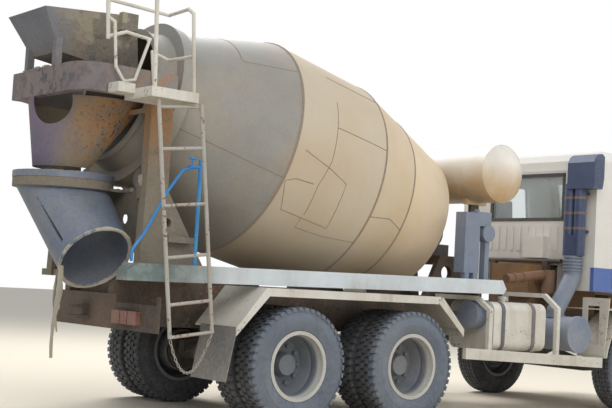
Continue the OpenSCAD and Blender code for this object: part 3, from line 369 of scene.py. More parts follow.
# Side beams along the mixer: folded steel in faded blue-white paint, stained green-grey at
# their rear ends. They rest on the subframe's outriggers.


def repaint(material, amount, paint, faded):
    """Lays a second paint, new and faded, over what a material already has, by an amount."""
    tree, wear = material.node_tree, material.node_tree.nodes["wear"]
    for socket, colour in ((wear.inputs["Paint"], paint), (wear.inputs["Faded"], faded)):
        under = socket.links[0].from_socket if socket.links else tuple(socket.default_value)
        tree.links.new(blend_colour(tree, amount, under, colour), socket)


def turns_to(material, axis, low, high, colour, ragged):
    """Brings in a colour along an axis, from nothing at low to full at high, with a rough edge."""
    tree = material.node_tree
    spot = tree.nodes.new("ShaderNodeTexCoord")
    axes = tree.nodes.new("ShaderNodeSeparateXYZ")
    tree.links.new(spot.outputs["Object"], axes.inputs[0])
    edge = span(tree, noise(tree, spot.outputs["Object"], 4, 5), 0.3, 0.6, 1 - ragged, 1.0)
    amount = math_node(tree, "MULTIPLY", span(tree, axes.outputs[axis], low, high), edge)
    repaint(material, amount, colour, colour)


grey_white = weathered("grey_white", (0.62, 0.67, 0.70), (0.50, 0.53, 0.54), fade=0.8,
    chips=0.22, runs=0.3, dusting=0.3, splash=2.4, gloss=0.5, dust=(0.34, 0.30, 0.24))
turns_to(grey_white, "X", -2.7, -3.15, (0.12, 0.165, 0.16), 0.5)
finish_nodes(grey_white, "side_beams")


# Fenders, side guards, platform and fuel tank: bent sheet and tube in cream paint, chipped and
# streaked with rust.
cream_steel = weathered("cream_steel", (0.68, 0.66, 0.60), (0.50, 0.46, 0.38), fade=0.8,
    chips=0.4, runs=0.45, dusting=0.45, splash=1.5, gloss=0.55)
finish_nodes(cream_steel, "fenders", "side_guards", "platform", "fuel_tank")


# Air cleaner, air tanks and oil reservoir: pressed and rolled sheet in blue-grey paint under a
# coat of dust, strapped or bolted to the frame.
grey_steel = weathered("grey_steel", (0.12, 0.16, 0.24), (0.20, 0.23, 0.29), fade=0.8,
    chips=0.25, runs=0.2, dusting=0.45, gloss=0.6)
finish_nodes(grey_steel, "air_cleaner", "air_tanks", "oil_reservoir")


# Mudflap behind the rear wheels, on the right only: a sheet of black rubber, bleached by the
# sun and splashed with mud.
flap_rubber = weathered("mudflap", (0.10, 0.105, 0.12), (0.16, 0.16, 0.17), fade=0.8,
    chips=0.0, runs=0.35, dusting=0.6, splash=1.2, gloss=0.85, rust=(0.28, 0.22, 0.16))
finish_nodes(flap_rubber, "mudflaps")


# Lamps: dusty red lenses behind, and clear headlamps in front, each with a black surround.
# The moulded lenses are screwed to the tail board and to the bumper.


def places(material):
    """Where a surface is: how far along the truck, how far off its middle line and how high."""
    tree = material.node_tree
    spot = tree.nodes.new("ShaderNodeTexCoord")
    axes = tree.nodes.new("ShaderNodeSeparateXYZ")
    tree.links.new(spot.outputs["Object"], axes.inputs[0])
    aside = tree.nodes.new("ShaderNodeMath")
    aside.operation = "ABSOLUTE"
    tree.links.new(axes.outputs["Y"], aside.inputs[0])
    return axes.outputs["X"], aside.outputs[0], axes.outputs["Z"]


lamp_lens = weathered("lamp_lens", (0.19, 0.03, 0.025), (0.15, 0.06, 0.04), fade=0.5, chips=0.0,
    runs=0.0, dusting=0.9, splash=2.5, gloss=0.3, dust=(0.30, 0.24, 0.18))
headlamp_ys, headlamp_z, headlamp_r = (0.68, 0.88), 0.78, 0.068
surround_black = (0.02, 0.02, 0.022)
lens_tree = lamp_lens.node_tree
lens_along, lens_aside, lens_high = places(lamp_lens)
lens_flat = lens_tree.nodes.new("ShaderNodeCombineXYZ")
lens_tree.links.new(lens_aside, lens_flat.inputs["Y"])
lens_tree.links.new(lens_high, lens_flat.inputs["Z"])
# how far a place is from the middle of each headlamp
from_middle = []
for y in headlamp_ys:
    to_middle = lens_tree.nodes.new("ShaderNodeVectorMath")
    to_middle.operation = "DISTANCE"
    to_middle.inputs[1].default_value = (0, y, headlamp_z)
    lens_tree.links.new(lens_flat.outputs[0], to_middle.inputs[0])
    from_middle.append(to_middle.outputs["Value"])
surround = span(lens_tree, math_node(lens_tree, "MINIMUM", *from_middle), headlamp_r,
    headlamp_r + 0.003)
headlamp, headlamp_faded = (blend_colour(lens_tree, surround, clear, surround_black)
    for clear in ((0.75, 0.77, 0.78), (0.62, 0.62, 0.60)))
repaint(lamp_lens, span(lens_tree, lens_along, 0.0, 0.1), headlamp, headlamp_faded)
finish_nodes(lamp_lens, "lamps")


# The rear pedestal: welded steel plate under years of cement, brown above and nearly black
# below. It carries the rollers and the ring in which the chute turns.


def stain_round(material, middle, near, far, colour, scale, share):
    """Blots of a colour round a place, thinning out from near to far."""
    tree = material.node_tree
    spot = tree.nodes.new("ShaderNodeTexCoord")
    away = tree.nodes.new("ShaderNodeVectorMath")
    away.operation = "DISTANCE"
    away.inputs[1].default_value = middle
    tree.links.new(spot.outputs["Object"], away.inputs[0])
    blots = span(tree, noise(tree, spot.outputs["Object"], scale, 5), share, share + 0.06)
    amount = math_node(tree, "MULTIPLY", span(tree, away.outputs["Value"], far, near), blots)
    repaint(material, amount, colour, colour)


cement_grey = weathered("cement_grey", (0.24, 0.20, 0.145), (0.13, 0.11, 0.09), fade=0.9,
    chips=0.3, runs=0.5, dusting=0.45, splash=6, gloss=0.85, bump=0.9, reach=0.02,
    dust=(0.34, 0.31, 0.26))
turns_to(cement_grey, "Z", 1.9, 2.5, (0.25, 0.17, 0.085), 0.6)
stain_round(cement_grey, (-3.13, -0.78, 2.62), 0.12, 0.55, (0.40, 0.17, 0.045), 6, 0.40)
finish_nodes(cement_grey, "rear_pedestal")


# The hopper: an open bowl of thin plate over the drum's mouth, crusted with old mix. It is
# bluish at its rear end, with a dark and a pale blotted place on its right.
hopper_crust = weathered("hopper_crust", (0.13, 0.115, 0.09), (0.23, 0.20, 0.155), fade=0.9,
    chips=0.3, runs=0.4, dusting=0.5, splash=6, gloss=0.85, bump=1.0, reach=0.02,
    dust=(0.36, 0.33, 0.28))
turns_to(hopper_crust, "X", -3.85, -4.05, (0.13, 0.15, 0.20), 0.3)
stain_round(hopper_crust, (-3.55, -0.60, 2.95), 0.15, 0.6, (0.035, 0.028, 0.022), 9, 0.52)
stain_round(hopper_crust, (-3.50, -0.60, 3.25), 0.2, 0.7, (0.36, 0.31, 0.22), 5, 0.50)
finish_nodes(hopper_crust, "hopper")


# The drum: rolled and welded courses. The rear cone is grey under cement, and darker still
# with painted shade; the courses ahead of it are tan, lighter and a little warmer toward the
# nose, with less painted shade. Its own axis divides the courses.
drum_mouth = Vector((-3.27, 0, 2.795))
drum_axis = Vector((0.97155, 0, -0.23684))
cone_end, belly_end, nose_seam = 1.30, 2.36, 2.88
cement_tan = weathered("cement_tan", (0.6, 0.5, 0.38), (0.55, 0.44, 0.31), fade=0.45,
    chips=0.08, runs=0.12, dusting=0.25, splash=6, gloss=0.6, rust=(0.30, 0.17, 0.09))
drum_tree = cement_tan.node_tree
drum_place = drum_tree.nodes.new("ShaderNodeTexCoord")
from_mouth = drum_tree.nodes.new("ShaderNodeVectorMath")
from_mouth.operation = "SUBTRACT"
from_mouth.inputs[1].default_value = drum_mouth
drum_tree.links.new(drum_place.outputs["Object"], from_mouth.inputs[0])
down_axis = drum_tree.nodes.new("ShaderNodeVectorMath")
down_axis.operation = "DOT_PRODUCT"
down_axis.inputs[1].default_value = drum_axis
drum_tree.links.new(from_mouth.outputs[0], down_axis.inputs[0])
course = drum_tree.nodes.new("ShaderNodeValToRGB")
course.color_ramp.interpolation = "CONSTANT"
# where each course starts along the axis and its paint, with painted shade darkest at the
# rear; the ramp covers 4 m of the axis
courses = ((0, (0.22, 0.215, 0.20)), (cone_end, (0.52, 0.43, 0.31)),
           (belly_end, (0.60, 0.47, 0.31)), (nose_seam, (0.70, 0.54, 0.36)))
ramp_long = 4
stops = course.color_ramp.elements
while len(stops) < len(courses):
    stops.new(0.5)
for stop, (start, colour) in zip(stops, courses):
    stop.position = start / ramp_long
    stop.color = (*colour, 1)
drum_tree.links.new(span(drum_tree, down_axis.outputs["Value"], 0, ramp_long),
    course.inputs["Fac"])
stain = span(drum_tree, noise(drum_tree, drum_place.outputs["Object"], 1.1, 6), 0.42, 0.7)
stained = blend_colour(drum_tree, math_node(drum_tree, "MULTIPLY", stain, 0.45),
    course.outputs["Color"], (0.44, 0.27, 0.12))
drum_tree.links.new(stained, drum_tree.nodes["wear"].inputs["Paint"])
faded_course = blend_colour(drum_tree, 0.35, course.outputs["Color"], (0.48, 0.46, 0.42))
drum_tree.links.new(faded_course, drum_tree.nodes["wear"].inputs["Faded"])
finish_nodes(cement_tan, "drum")


# Weld beads on the drum: a ring at each course, the seams between its plates and the outlines
# of the plates welded over worn places on the right side. Each is given by stations of
# (distance from the mouth, angle round the axis) and lies on the drum's own outline.
weld_brown = weathered("weld_brown", (0.27, 0.20, 0.14), (0.20, 0.14, 0.10), fade=0.8, chips=0.4,
    runs=0.0, dusting=0.4, splash=6, gloss=0.8)
drum_up = Vector((0.23684, 0, 0.97155))
outline_at = (0, cone_end, belly_end, 3.57)
outline_r = (0.59, 1.05, 1.05, 0.745)


def on_shell(along, angle):
    """A point on the drum."""
    r = float(np.interp(along, outline_at, outline_r))
    a = math.radians(angle)
    return (drum_mouth + drum_axis * along + Vector((0, 1, 0)) * (r * math.cos(a))
            + drum_up * (r * math.sin(a)))


def bead(stations, width, height):
    """A low ridge through stations on the drum, with its edges sunk a little in the shell."""
    sunk = 0.002
    path = []
    for (s0, a0), (s1, a1) in zip(stations, stations[1:]):
        steps = max(1, int(max(abs(a1 - a0) / 4, abs(s1 - s0) / 0.2)))
        path += [(s0 + (s1 - s0) * k / steps, a0 + (a1 - a0) * k / steps) for k in range(steps)]
    path.append(stations[-1])
    points = [on_shell(*p) for p in path]
    corners = []
    for k, point in enumerate(points):
        run = points[min(k + 1, len(points) - 1)] - points[max(k - 1, 0)]
        out = point - drum_mouth
        out = (out - drum_axis * out.dot(drum_axis)).normalized()
        side = run.cross(out).normalized() * (width / 2)
        corners += [point - side - out * sunk, point + out * height, point + side - out * sunk]
    faces = []
    for k in range(len(points) - 1):
        faces += [(3 * k, 3 * k + 1, 3 * k + 4, 3 * k + 3),
                  (3 * k + 1, 3 * k + 2, 3 * k + 5, 3 * k + 4)]
    return corners, faces


beads = []
for along in (cone_end, belly_end, nose_seam):
    beads.append(bead([(along, a) for a in range(0, 361, 60)], width=0.03, height=0.007))
seams = (
    [(0.30, 200), (1.29, 200)], [(0.80, 60), (0.78, 139), (1.28, 141)], [(0.80, -40), (1.29, -40)],
    [(1.31, 100), (2.35, 100)], [(1.31, -10), (2.35, -10)], [(2.37, 70), (2.87, 70)],
    [(2.37, -159.5), (2.66, -162.5), (2.87, -159)], [(2.89, 35), (3.55, 35)],
    [(2.89, 250), (3.55, 250)],
    [(1.68, 132), (2.35, 131)], [(1.725, 150), (1.725, 183), (1.67, 197), (1.69, 213)],
    [(1.725, 165), (2.07, 164.5), (2.35, 164.5)],
    [(1.41, 183.4), (1.75, 187), (1.96, 190.5), (1.97, 201), (1.99, 215), (1.44, 215),
     (1.32, 201), (1.42, 198), (1.62, 197)],
    [(1.68, 215.4), (1.69, 221), (2.01, 220), (2.35, 216.5)],
)
for seam in seams:
    beads.append(bead(seam, width=0.014, height=0.004))
piece("drum_welds", beads, weld_brown, "mixing_drum")


# Chute: rolled sheet, bare and blue-grey, polished inside by wet concrete. The two rollers
# under the drum are of the same bare steel.
worn_steel = weathered("worn_steel", (0.085, 0.13, 0.22), (0.15, 0.175, 0.21), fade=0.9,
    chips=0.3, runs=0.35, dusting=0.5, splash=6, gloss=0.45, metal=0.25, bump=0.5,
    dust=(0.36, 0.34, 0.31))
finish_nodes(worn_steel, "chute", "roller_r", "roller_l")


# Heavy beam under the hopper: welded plate in dark paint, with rust in blots and runs and a
# grey film of slurry. It stands on the pedestal and carries the hopper.
beam_brown = weathered("rust_brown", (0.13, 0.12, 0.145), (0.22, 0.16, 0.12), fade=0.8,
    chips=0.42, runs=0.6, dusting=0.5, splash=6, gloss=0.8, bump=0.8,
    rust=(0.22, 0.11, 0.055), dust=(0.36, 0.34, 0.33))
turns_to(beam_brown, "X", -3.85, -3.55, (0.26, 0.245, 0.22), 0.5)
stain_round(beam_brown, (-4.02, -0.2, 2.8), 0.2, 0.8, (0.05, 0.04, 0.07), 11, 0.50)
stain_round(beam_brown, (-3.3, -0.8, 2.68), 0.05, 0.4, (0.40, 0.17, 0.045), 9, 0.47)
finish_nodes(beam_brown, "hopper_beam")


# Funnel under the drum's mouth: thin sheet cut slantwise, purple-grey behind and brown on the
# right, with a rusted place high on it that is dark with pits.
funnel_sheet = weathered("funnel_sheet", (0.12, 0.10, 0.19), (0.15, 0.12, 0.17), fade=0.9,
    chips=0.42, runs=0.7, dusting=0.35, splash=6, gloss=0.75, bump=0.7,
    rust=(0.25, 0.125, 0.055), dust=(0.38, 0.35, 0.33))
turns_to(funnel_sheet, "X", -3.98, -3.80, (0.26, 0.20, 0.115), 0.5)
stain_round(funnel_sheet, (-3.45, -0.32, 2.52), 0.05, 0.50, (0.42, 0.18, 0.03), 8, 0.42)
stain_round(funnel_sheet, (-3.50, -0.32, 2.47), 0.10, 0.42, (0.012, 0.008, 0.006), 36, 0.56)
finish_nodes(funnel_sheet, "discharge_funnel")


# Exhaust: plain steel pipe and silencer without paint, gone red-brown with heat and rain.
# It hangs on the frame.
pipe_rust = weathered("pipe_rust", (0.20, 0.095, 0.05), (0.13, 0.07, 0.045), fade=0.9,
    chips=0.5, runs=0.3, dusting=0.35, splash=1.6, gloss=0.8, bump=0.6)
finish_nodes(pipe_rust, "exhaust")


# Ladder: welded bar in pale paint, chipped and rusty all over. It reaches from the platform
# down to a loose chain.
ladder_steel = weathered("ladder_steel", (0.42, 0.40, 0.36), (0.30, 0.26, 0.22), fade=0.8,
    chips=0.5, runs=0.4, dusting=0.3, gloss=0.6)
finish_nodes(ladder_steel, "ladder")


# Lumps of set cement on the pedestal, from its foot to its top, and on the beam under the
# hopper. Each lump is a squashed ball with a rough surface, half sunk in what it sits on.
crust = weathered("crust", (0.33, 0.30, 0.25), (0.22, 0.20, 0.17), fade=0.9, chips=0.0, runs=0.2,
    dusting=0.4, splash=6, gloss=0.9, bump=1.0, reach=0.02)
random = np.random.default_rng(7)


def lump(place, size, flat):
    """A rough lump, squashed by flat along X, Y and Z."""
    rings, sides = 7, 12
    corners = []
    for i in range(rings + 1):
        tilt = math.pi * i / rings
        for k in range(sides):
            turn = 2 * math.pi * k / sides
            r = size * float(random.uniform(0.72, 1.12))
            corners.append((place[0] + flat[0] * r * math.sin(tilt) * math.cos(turn),
                            place[1] + flat[1] * r * math.sin(tilt) * math.sin(turn),
                            place[2] + flat[2] * r * math.cos(tilt)))
    return corners, wrap(rings + 1, sides)


# rows of lumps: first place, last place, how many, size, squash along X, Y and Z
crust_rows = (
    ((-3.27, -0.66, 1.93), (-3.27, 0.66, 1.93), 17, 0.045, (0.6, 1.1, 0.5)),
    ((-3.19, -0.73, 1.90), (-2.78, -0.73, 1.33), 11, 0.04, (1.0, 0.25, 0.8)),
    ((-3.19, 0.73, 1.90), (-2.78, 0.73, 1.33), 11, 0.04, (1.0, 0.25, 0.8)),
    ((-3.38, -0.741, 2.0), (-3.22, -0.741, 2.6), 8, 0.05, (1.0, 0.12, 1.0)),
    ((-4.02, -0.2, 2.905), (-4.0, 0.25, 2.905), 6, 0.045, (0.8, 1.0, 0.4)),
    ((-3.75, -0.66, 2.905), (-3.3, -0.7, 2.905), 7, 0.04, (1.0, 0.8, 0.35)),
    ((-3.3, -0.55, 1.24), (-3.3, 0.55, 1.24), 12, 0.05, (0.7, 1.0, 0.45)),
)
lumps = []
for first, last, count, size, flat in crust_rows:
    for k in range(count):
        t = (k + float(random.uniform(-0.3, 0.3))) / max(1, count - 1)
        place = [a + (b - a) * t for a, b in zip(first, last)]
        lumps.append(lump(place, size * float(random.uniform(0.5, 1.2)), flat))
piece("cement_lumps", lumps, crust, "chassis", 60)


# Dried cement round the chute's outlet and on the rim of its bowl, paler than the rest, where
# each load leaves a little more. It turns with the chute.
pale_crust = weathered("pale_crust", (0.46, 0.42, 0.34), (0.33, 0.30, 0.24), fade=0.8, chips=0.0,
    runs=0.2, dusting=0.3, splash=6, gloss=0.9, bump=1.0, reach=0.01)
outlet = Vector((-3.67, -0.578, 1.33))
outlet_turn = Matrix.Rotation(math.radians(3), 3, "Z") @ Matrix.Rotation(math.radians(129), 3, "X")


def crust_ring(middle, turn, radius, first, last, thick):
    """A rough rope of cement round part of a circle; thick is its least and greatest size."""
    step, sides = 2.5, 8
    steps = int((last - first) / step)
    corners = []
    swell = 0.5
    for i in range(steps + 1):
        a = math.radians(first + (last - first) * i / steps)
        swell = min(1, max(0, swell + float(random.uniform(-0.3, 0.3))))
        size = thick[0] + (thick[1] - thick[0]) * swell
        for j in range(sides):
            b = 2 * math.pi * j / sides
            r = size * float(random.uniform(0.8, 1.15))
            out = radius + r * math.cos(b)
            corners.append(middle + turn @ Vector((out * math.cos(a), out * math.sin(a),
                                                   r * math.sin(b))))
    return corners, capped(steps + 1, sides)


outlet_face = outlet + outlet_turn @ Vector((0, 0, -0.008))
bowl_rim = Vector((-3.71, 0, 2.033))
lip_crust = [
    crust_ring(outlet_face, outlet_turn, 0.307, 0, 360, (0.011, 0.019)),
    crust_ring(bowl_rim, Matrix.Identity(3), 0.419, 75, 285, (0.006, 0.011)),
]
piece("chute_crust", lip_crust, pale_crust, "swivel_chute", 60)


# Torn strips of old sheeting stuck to the outlet's lower edge: thin, ragged and hanging free.
# They are crusted like the outlet and turn with the chute.
outlet_r, strip_rows, strip_thick = 0.318, 14, 0.003
strips = []
# angle round the outlet, length and half the width of each strip
for turn, drop, wide in ((196, 0.74, 0.035), (204, 0.50, 0.022), (214, 0.42, 0.030)):
    a = math.radians(turn)
    start = outlet + outlet_turn @ Vector((outlet_r * math.cos(a), outlet_r * math.sin(a), 0.004))
    corners = []
    for i in range(strip_rows + 1):
        t = i / strip_rows
        w = wide * (0.55 + 0.45 * float(random.uniform(0.3, 1.0))) * (1 - 0.45 * t)
        sway = 0.022 * math.sin(4.2 * t + turn)
        for side, back in ((-1, 0), (1, 0), (1, strip_thick), (-1, strip_thick)):
            corners.append(start + Vector((sway + side * w, -0.012 * t + side * w * 0.4 + back,
                                           -drop * t)))
    strips.append((corners, capped(strip_rows + 1, 4)))
piece("torn_strips", strips, pale_crust, "swivel_chute", 60)


# Short chain across the ladder's foot: oval links hung in a slack curve, each turned a
# quarter from the last.
chain_from, chain_low, chain_to = (Vector(p) for p in (
    (-3.302, -1.2, 0.718), (-3.112, -1.2, 0.458), (-2.904, -1.2, 0.78)))
link_count, link_wire, link_half_wide, link_overlap = 26, 0.0035, 0.010, 0.003
# a curve through the two ends that just reaches the lowest place
control = 2 * chain_low - (chain_from + chain_to) / 2
chain_path = []
for k in range(link_count + 1):
    t = k / link_count
    chain_path.append((1 - t) ** 2 * chain_from + 2 * t * (1 - t) * control + t ** 2 * chain_to)
links = []
for k in range(link_count):
    start, end = chain_path[k], chain_path[k + 1]
    along = (end - start).normalized()
    flat_way = Vector((0, 1, 0)) if k % 2 else along.cross(Vector((0, 1, 0)))
    normal = along.cross(flat_way)
    middle = (start + end) / 2
    half = (end - start).length / 2 + link_overlap
    around, sides = 14, 6
    corners = []
    for i in range(around):
        a = 2 * math.pi * i / around
        centre = middle + along * (half * math.cos(a)) + flat_way * (link_half_wide * math.sin(a))
        out = (along * math.cos(a) + flat_way * math.sin(a)).normalized()
        for j in range(sides):
            b = 2 * math.pi * j / sides
            corners.append(centre + out * (link_wire * math.cos(b))
                           + normal * (link_wire * math.sin(b)))
    links.append((corners, wrap(around, sides, closed=True)))
piece("ladder_chain", links, ladder_steel, "chassis")


# Fuel tank straps: two dark bands with a rubber lining, drawn tight round the tank. Each
# follows the tank's rounded corners.
strap_dark = weathered("strap_dark", (0.05, 0.055, 0.075), (0.11, 0.11, 0.125), fade=0.8,
    chips=0.3, runs=0.2, dusting=0.35, splash=1.6, gloss=0.6)
tank_low_corner, tank_high_corner, tank_corner_r = (-1.15, 0.66), (-0.54, 1.15), 0.09
strap_wide, strap_thick = 0.047, 0.008
straps = []
for x in (0.634, 1.094):
    loop = []
    for y_end, z_end, first in ((1, 1, 0), (0, 1, 90), (0, 0, 180), (1, 0, 270)):
        y = (tank_low_corner[0] + tank_corner_r, tank_high_corner[0] - tank_corner_r)[y_end]
        z = (tank_low_corner[1] + tank_corner_r, tank_high_corner[1] - tank_corner_r)[z_end]
        for k in range(7):
            a = math.radians(first + 15 * k)
            r = tank_corner_r + strap_thick
            loop.append((y + r * math.cos(a), z + r * math.sin(a)))
    corners = [(x + step, y, z) for step in (0, strap_wide) for y, z in loop]
    straps.append((corners, capped(2, len(loop))))
piece("tank_straps", straps, strap_dark, "chassis")


# Water pipe: blue plastic pipe behind the ladder, bleached to a lighter blue in places and
# lightly dusted.
pipe_blue = weathered("pipe_blue", (0.01, 0.12, 0.52), (0.02, 0.30, 0.52), fade=0.9, chips=0.0,
    runs=0.0, dusting=0.12, splash=3, gloss=0.4)
finish_nodes(pipe_blue, "wash_pipe")


# Rims: pale paint on the outer flange, darker grey-blue inside the deep dish, with dust and
# rust. The distance across the truck tells the two apart.
rim_steel = weathered("rim_steel", (0.12, 0.14, 0.17), (0.24, 0.25, 0.26), fade=0.7,
    chips=0.35, runs=0.1, dusting=0.45, splash=1.1, gloss=0.6, dust=(0.30, 0.27, 0.24))
rim_aside = places(rim_steel)[1]
repaint(rim_steel, span(rim_steel.node_tree, rim_aside, 1.118, 1.150), (0.56, 0.54, 0.49),
    (0.44, 0.42, 0.38))
finish_nodes(rim_steel, "rim_front_r", "rim_front_l", "rims_mid_r", "rims_mid_l",
    "rims_rear_r", "rims_rear_l")


# Engine and gearbox under the cab: cast iron gone orange-brown with rust and old oil. They
# hang between the frame rails.
engine_rust = weathered("engine_rust", (0.33, 0.17, 0.06), (0.15, 0.085, 0.045), fade=0.9,
    chips=0.5, runs=0.3, dusting=0.4, gloss=0.8, bump=0.6)
finish_nodes(engine_rust, "engine")


# Water tank: a welded drum with domed ends, white paint with a tan stain along its underside
# and a weld at each seam.
tank_white = weathered("tank_white", (0.76, 0.72, 0.66), (0.66, 0.56, 0.42), fade=0.5,
    chips=0.12, runs=0.3, dusting=0.2, splash=4, gloss=0.4)
turns_to(tank_white, "Z", 2.60, 2.34, (0.55, 0.37, 0.19), 0.4)
finish_nodes(tank_white, "water_tank")
tank_at, tank_r, weld_high, weld_half_wide = Vector((0.82, 0, 2.475)), 0.300, 0.0035, 0.006
tank_welds = []
for y in (-0.90, 0, 0.90):
    around, sides = 64, 6
    corners = []
    for i in range(around):
        a = 2 * math.pi * i / around
        for j in range(sides):
            b = 2 * math.pi * j / sides
            r = tank_r + weld_high * math.cos(b)
            corners.append(tank_at + Vector((r * math.cos(a), y + weld_half_wide * math.sin(b),
                                             r * math.sin(a))))
    tank_welds.append((corners, wrap(around, sides, closed=True)))
piece("tank_welds", tank_welds, tank_white, "chassis")


# Snorkel: dark blue-grey moulded duct with clamps round its pipes and a grille in its hood.
# It is fixed to the cab's rear wall and tilts with the cab.
blue_plastic = weathered("blue_plastic", (0.018, 0.032, 0.085), (0.035, 0.06, 0.14), fade=0.8,
    chips=0.03, runs=0.0, dusting=0.1, splash=3, gloss=0.4)
finish_nodes(blue_plastic, "snorkel")
clamp_steel = weathered("clamp_steel", (0.09, 0.08, 0.075), (0.16, 0.10, 0.07), fade=0.9,
    chips=0.4, runs=0.1, dusting=0.3, splash=2, gloss=0.5)
duct_x = 2.155
clamps = []
for z in (1.99, 2.16, 2.33):
    for y in (-0.73, -0.87):
        clamps.append(prism((duct_x, y, z), (0, 0, 1), length=0.028, radius=0.0675, sides=28))
piece("snorkel_clamps", clamps, clamp_steel, "cab")
box_faces = [(0, 1, 3, 2), (4, 6, 7, 5), (0, 4, 5, 1), (2, 3, 7, 6), (0, 2, 6, 4), (1, 5, 7, 3)]


def block(low, high):
    """A box from its lowest corner to its highest."""
    corners = [(x, y, z) for x in (low[0], high[0]) for y in (low[1], high[1])
               for z in (low[2], high[2])]
    return corners, box_faces


hood_back, hood_front, hood_face = 2.085, 2.235, -1.098
slat_first, slat_step, slat_high, slat_thick = 2.47, 0.028, 0.012, 0.0085
slats = []
for k in range(11):
    z = slat_first + slat_step * k
    slats.append(block((hood_back, hood_face - slat_thick, z),
                       (hood_front, hood_face, z + slat_high)))
piece("hood_slats", slats, blue_plastic, "cab")


# The cab: cream paint, slightly chalky, with a blue stripe along the foot of each side. The
# doors and the bumper have the same paint.
cab_cream = weathered("cab_cream", (0.72, 0.69, 0.64), (0.60, 0.56, 0.50), fade=0.5,
    chips=0.08, runs=0.14, dusting=0.2, splash=1.8, gloss=0.4)
cab_tree = cab_cream.node_tree
cab_aside, cab_high = places(cab_cream)[1:]
stripe_height = math_node(cab_tree, "MULTIPLY", span(cab_tree, cab_high, 1.584, 1.578),
    span(cab_tree, cab_high, 1.1, 1.2))
stripe = math_node(cab_tree, "MULTIPLY", span(cab_tree, cab_aside, 0.94, 0.96), stripe_height)
repaint(cab_cream, stripe, (0.04, 0.10, 0.36), (0.07, 0.15, 0.38))
finish_nodes(cab_cream, "cab_shell", "door_r", "door_l", "bumper")


# Mirrors and the cab's inside: black moulded plastic under a little dust. The mirrors move
# with the cab, as the seats and the steering wheel do.
black_plastic = weathered("black_plastic", (0.03, 0.03, 0.032), (0.07, 0.07, 0.07), fade=0.5,
    chips=0.0, runs=0.0, dusting=0.25, gloss=0.5)
finish_nodes(black_plastic, "mirrors", "cab_interior")


# Window glass: flat panes, slightly green and not quite clear, held by rubber. The cab's
# inside shows through them.
cab_glass = bpy.data.materials.new("cab_glass")
cab_glass.use_nodes = True
glass_shader = cab_glass.node_tree.nodes["Principled BSDF"]
glass_shader.inputs["Base Color"].default_value = (0.80, 0.86, 0.86, 1)
glass_shader.inputs["Roughness"].default_value = 0.06
glass_shader.inputs["Transmission Weight"].default_value = 0.8
glass_shader.inputs["IOR"].default_value = 1.45
finish_nodes(cab_glass, "cab_glass")


# Rubber round the rear window: four lengths of black section that lap over the glass and the
# cab's rear wall.
rubber = weathered("rubber_seal", (0.02, 0.02, 0.022), (0.045, 0.045, 0.048), fade=0.6,
    chips=0.0, runs=0.0, dusting=0.25, splash=3, gloss=0.6)
seal, lap = 0.03, 0.008
y_low, y_high, z_low, z_high = -0.53, 0.53, 2.13, 2.62
x_out = 2.264
x_in = x_out + 0.02
rear_seal = [
    block((x_out, y_low - seal, z_low - seal), (x_in, y_high + seal, z_low + lap)),
    block((x_out, y_low - seal, z_high - lap), (x_in, y_high + seal, z_high + seal)),
    block((x_out, y_low - seal, z_low), (x_in, y_low + lap, z_high)),
    block((x_out, y_high - lap, z_low), (x_in, y_high + seal, z_high)),
]
piece("rear_window_seal", rear_seal, rubber, "cab")


# Rubber round the windscreen: four strips on its leaning face, and the wipers parked at its
# foot, each an arm and a blade.
screen_foot, screen_head = Vector((4.034, 0, 2.0)), Vector((3.869, 0, 2.73))
up_screen = (screen_head - screen_foot).normalized()
off_screen = Vector((up_screen.z, 0, -up_screen.x))


def on_screen(y, up):
    """A point on the face of the cab round the windscreen."""
    return screen_foot + up_screen * up + Vector((0, y, 0))


def strip_between(start, end, width, height, out):
    """A flat strip from start to end with its underside on a surface that faces out."""
    along = (end - start).normalized()
    side = along.cross(out).normalized() * (width / 2)
    corners = [p + s * side + h * out for p in (start, end) for s in (-1, 1)
               for h in (-0.004, height)]
    return corners, box_faces


screen_up = (screen_head - screen_foot).length
side_y, seal_wide, seal_high = 0.88, 0.04, 0.010
seal_ends = (((-side_y, 0), (side_y, 0)), ((-side_y, screen_up), (side_y, screen_up)),
             ((-side_y, 0), (-side_y, screen_up)), ((side_y, 0), (side_y, screen_up)))
screen_seal = [strip_between(on_screen(*low), on_screen(*high), seal_wide, seal_high, off_screen)
               for low, high in seal_ends]
piece("windscreen_seal", screen_seal, rubber, "cab")
# how far up the screen each pivot is, and its arm's and blade's ends as (across, up)
pivot_up, arm_end, blade_ends = -0.045, (0.30, 0.075), ((0.02, 0.055), (0.56, 0.095))
wipers = []
for pivot_y in (-0.62, 0.12):
    foot = on_screen(pivot_y, pivot_up) + off_screen * 0.012
    elbow = on_screen(pivot_y + arm_end[0], arm_end[1]) + off_screen * 0.018
    wipers.append(prism(foot - off_screen * 0.02, off_screen, length=0.03, radius=0.018, sides=12))
    wipers.append(prism(foot, elbow - foot, (elbow - foot).length, radius=0.007, sides=8,
        tip=0.005))
    blade_start, blade_end = (on_screen(pivot_y + y, up) + off_screen * 0.010
        for y, up in blade_ends)
    wipers.append(strip_between(blade_start, blade_end, 0.012, 0.012, off_screen))
piece("wipers", wipers, rubber, "cab")


# Grille under the windscreen: a pressed black panel with slats across it in a plain frame,
# set on the cab's front face.
grille_half, grille_low, grille_high, front_face = 0.66, 1.40, 1.80, 4.05
slat_pitch, slat_face, slat_tall = 0.042, front_face + 0.02, 0.018
border_face, border = front_face + 0.024, 0.02
grille = [block((front_face - 0.01, -grille_half, grille_low),
                (front_face + 0.004, grille_half, grille_high))]
for k in range(9):
    z = grille_low + 0.03 + slat_pitch * k
    grille.append(block((front_face, -grille_half + border, z),
                        (slat_face, grille_half - border, z + slat_tall)))
for y in (-grille_half, grille_half - border):
    grille.append(block((front_face, y, grille_low), (border_face, y + border, grille_high)))
for z in (grille_low, grille_high - border):
    grille.append(block((front_face, -grille_half, z), (border_face, grille_half, z + border)))
piece("grille", grille, black_plastic, "cab")


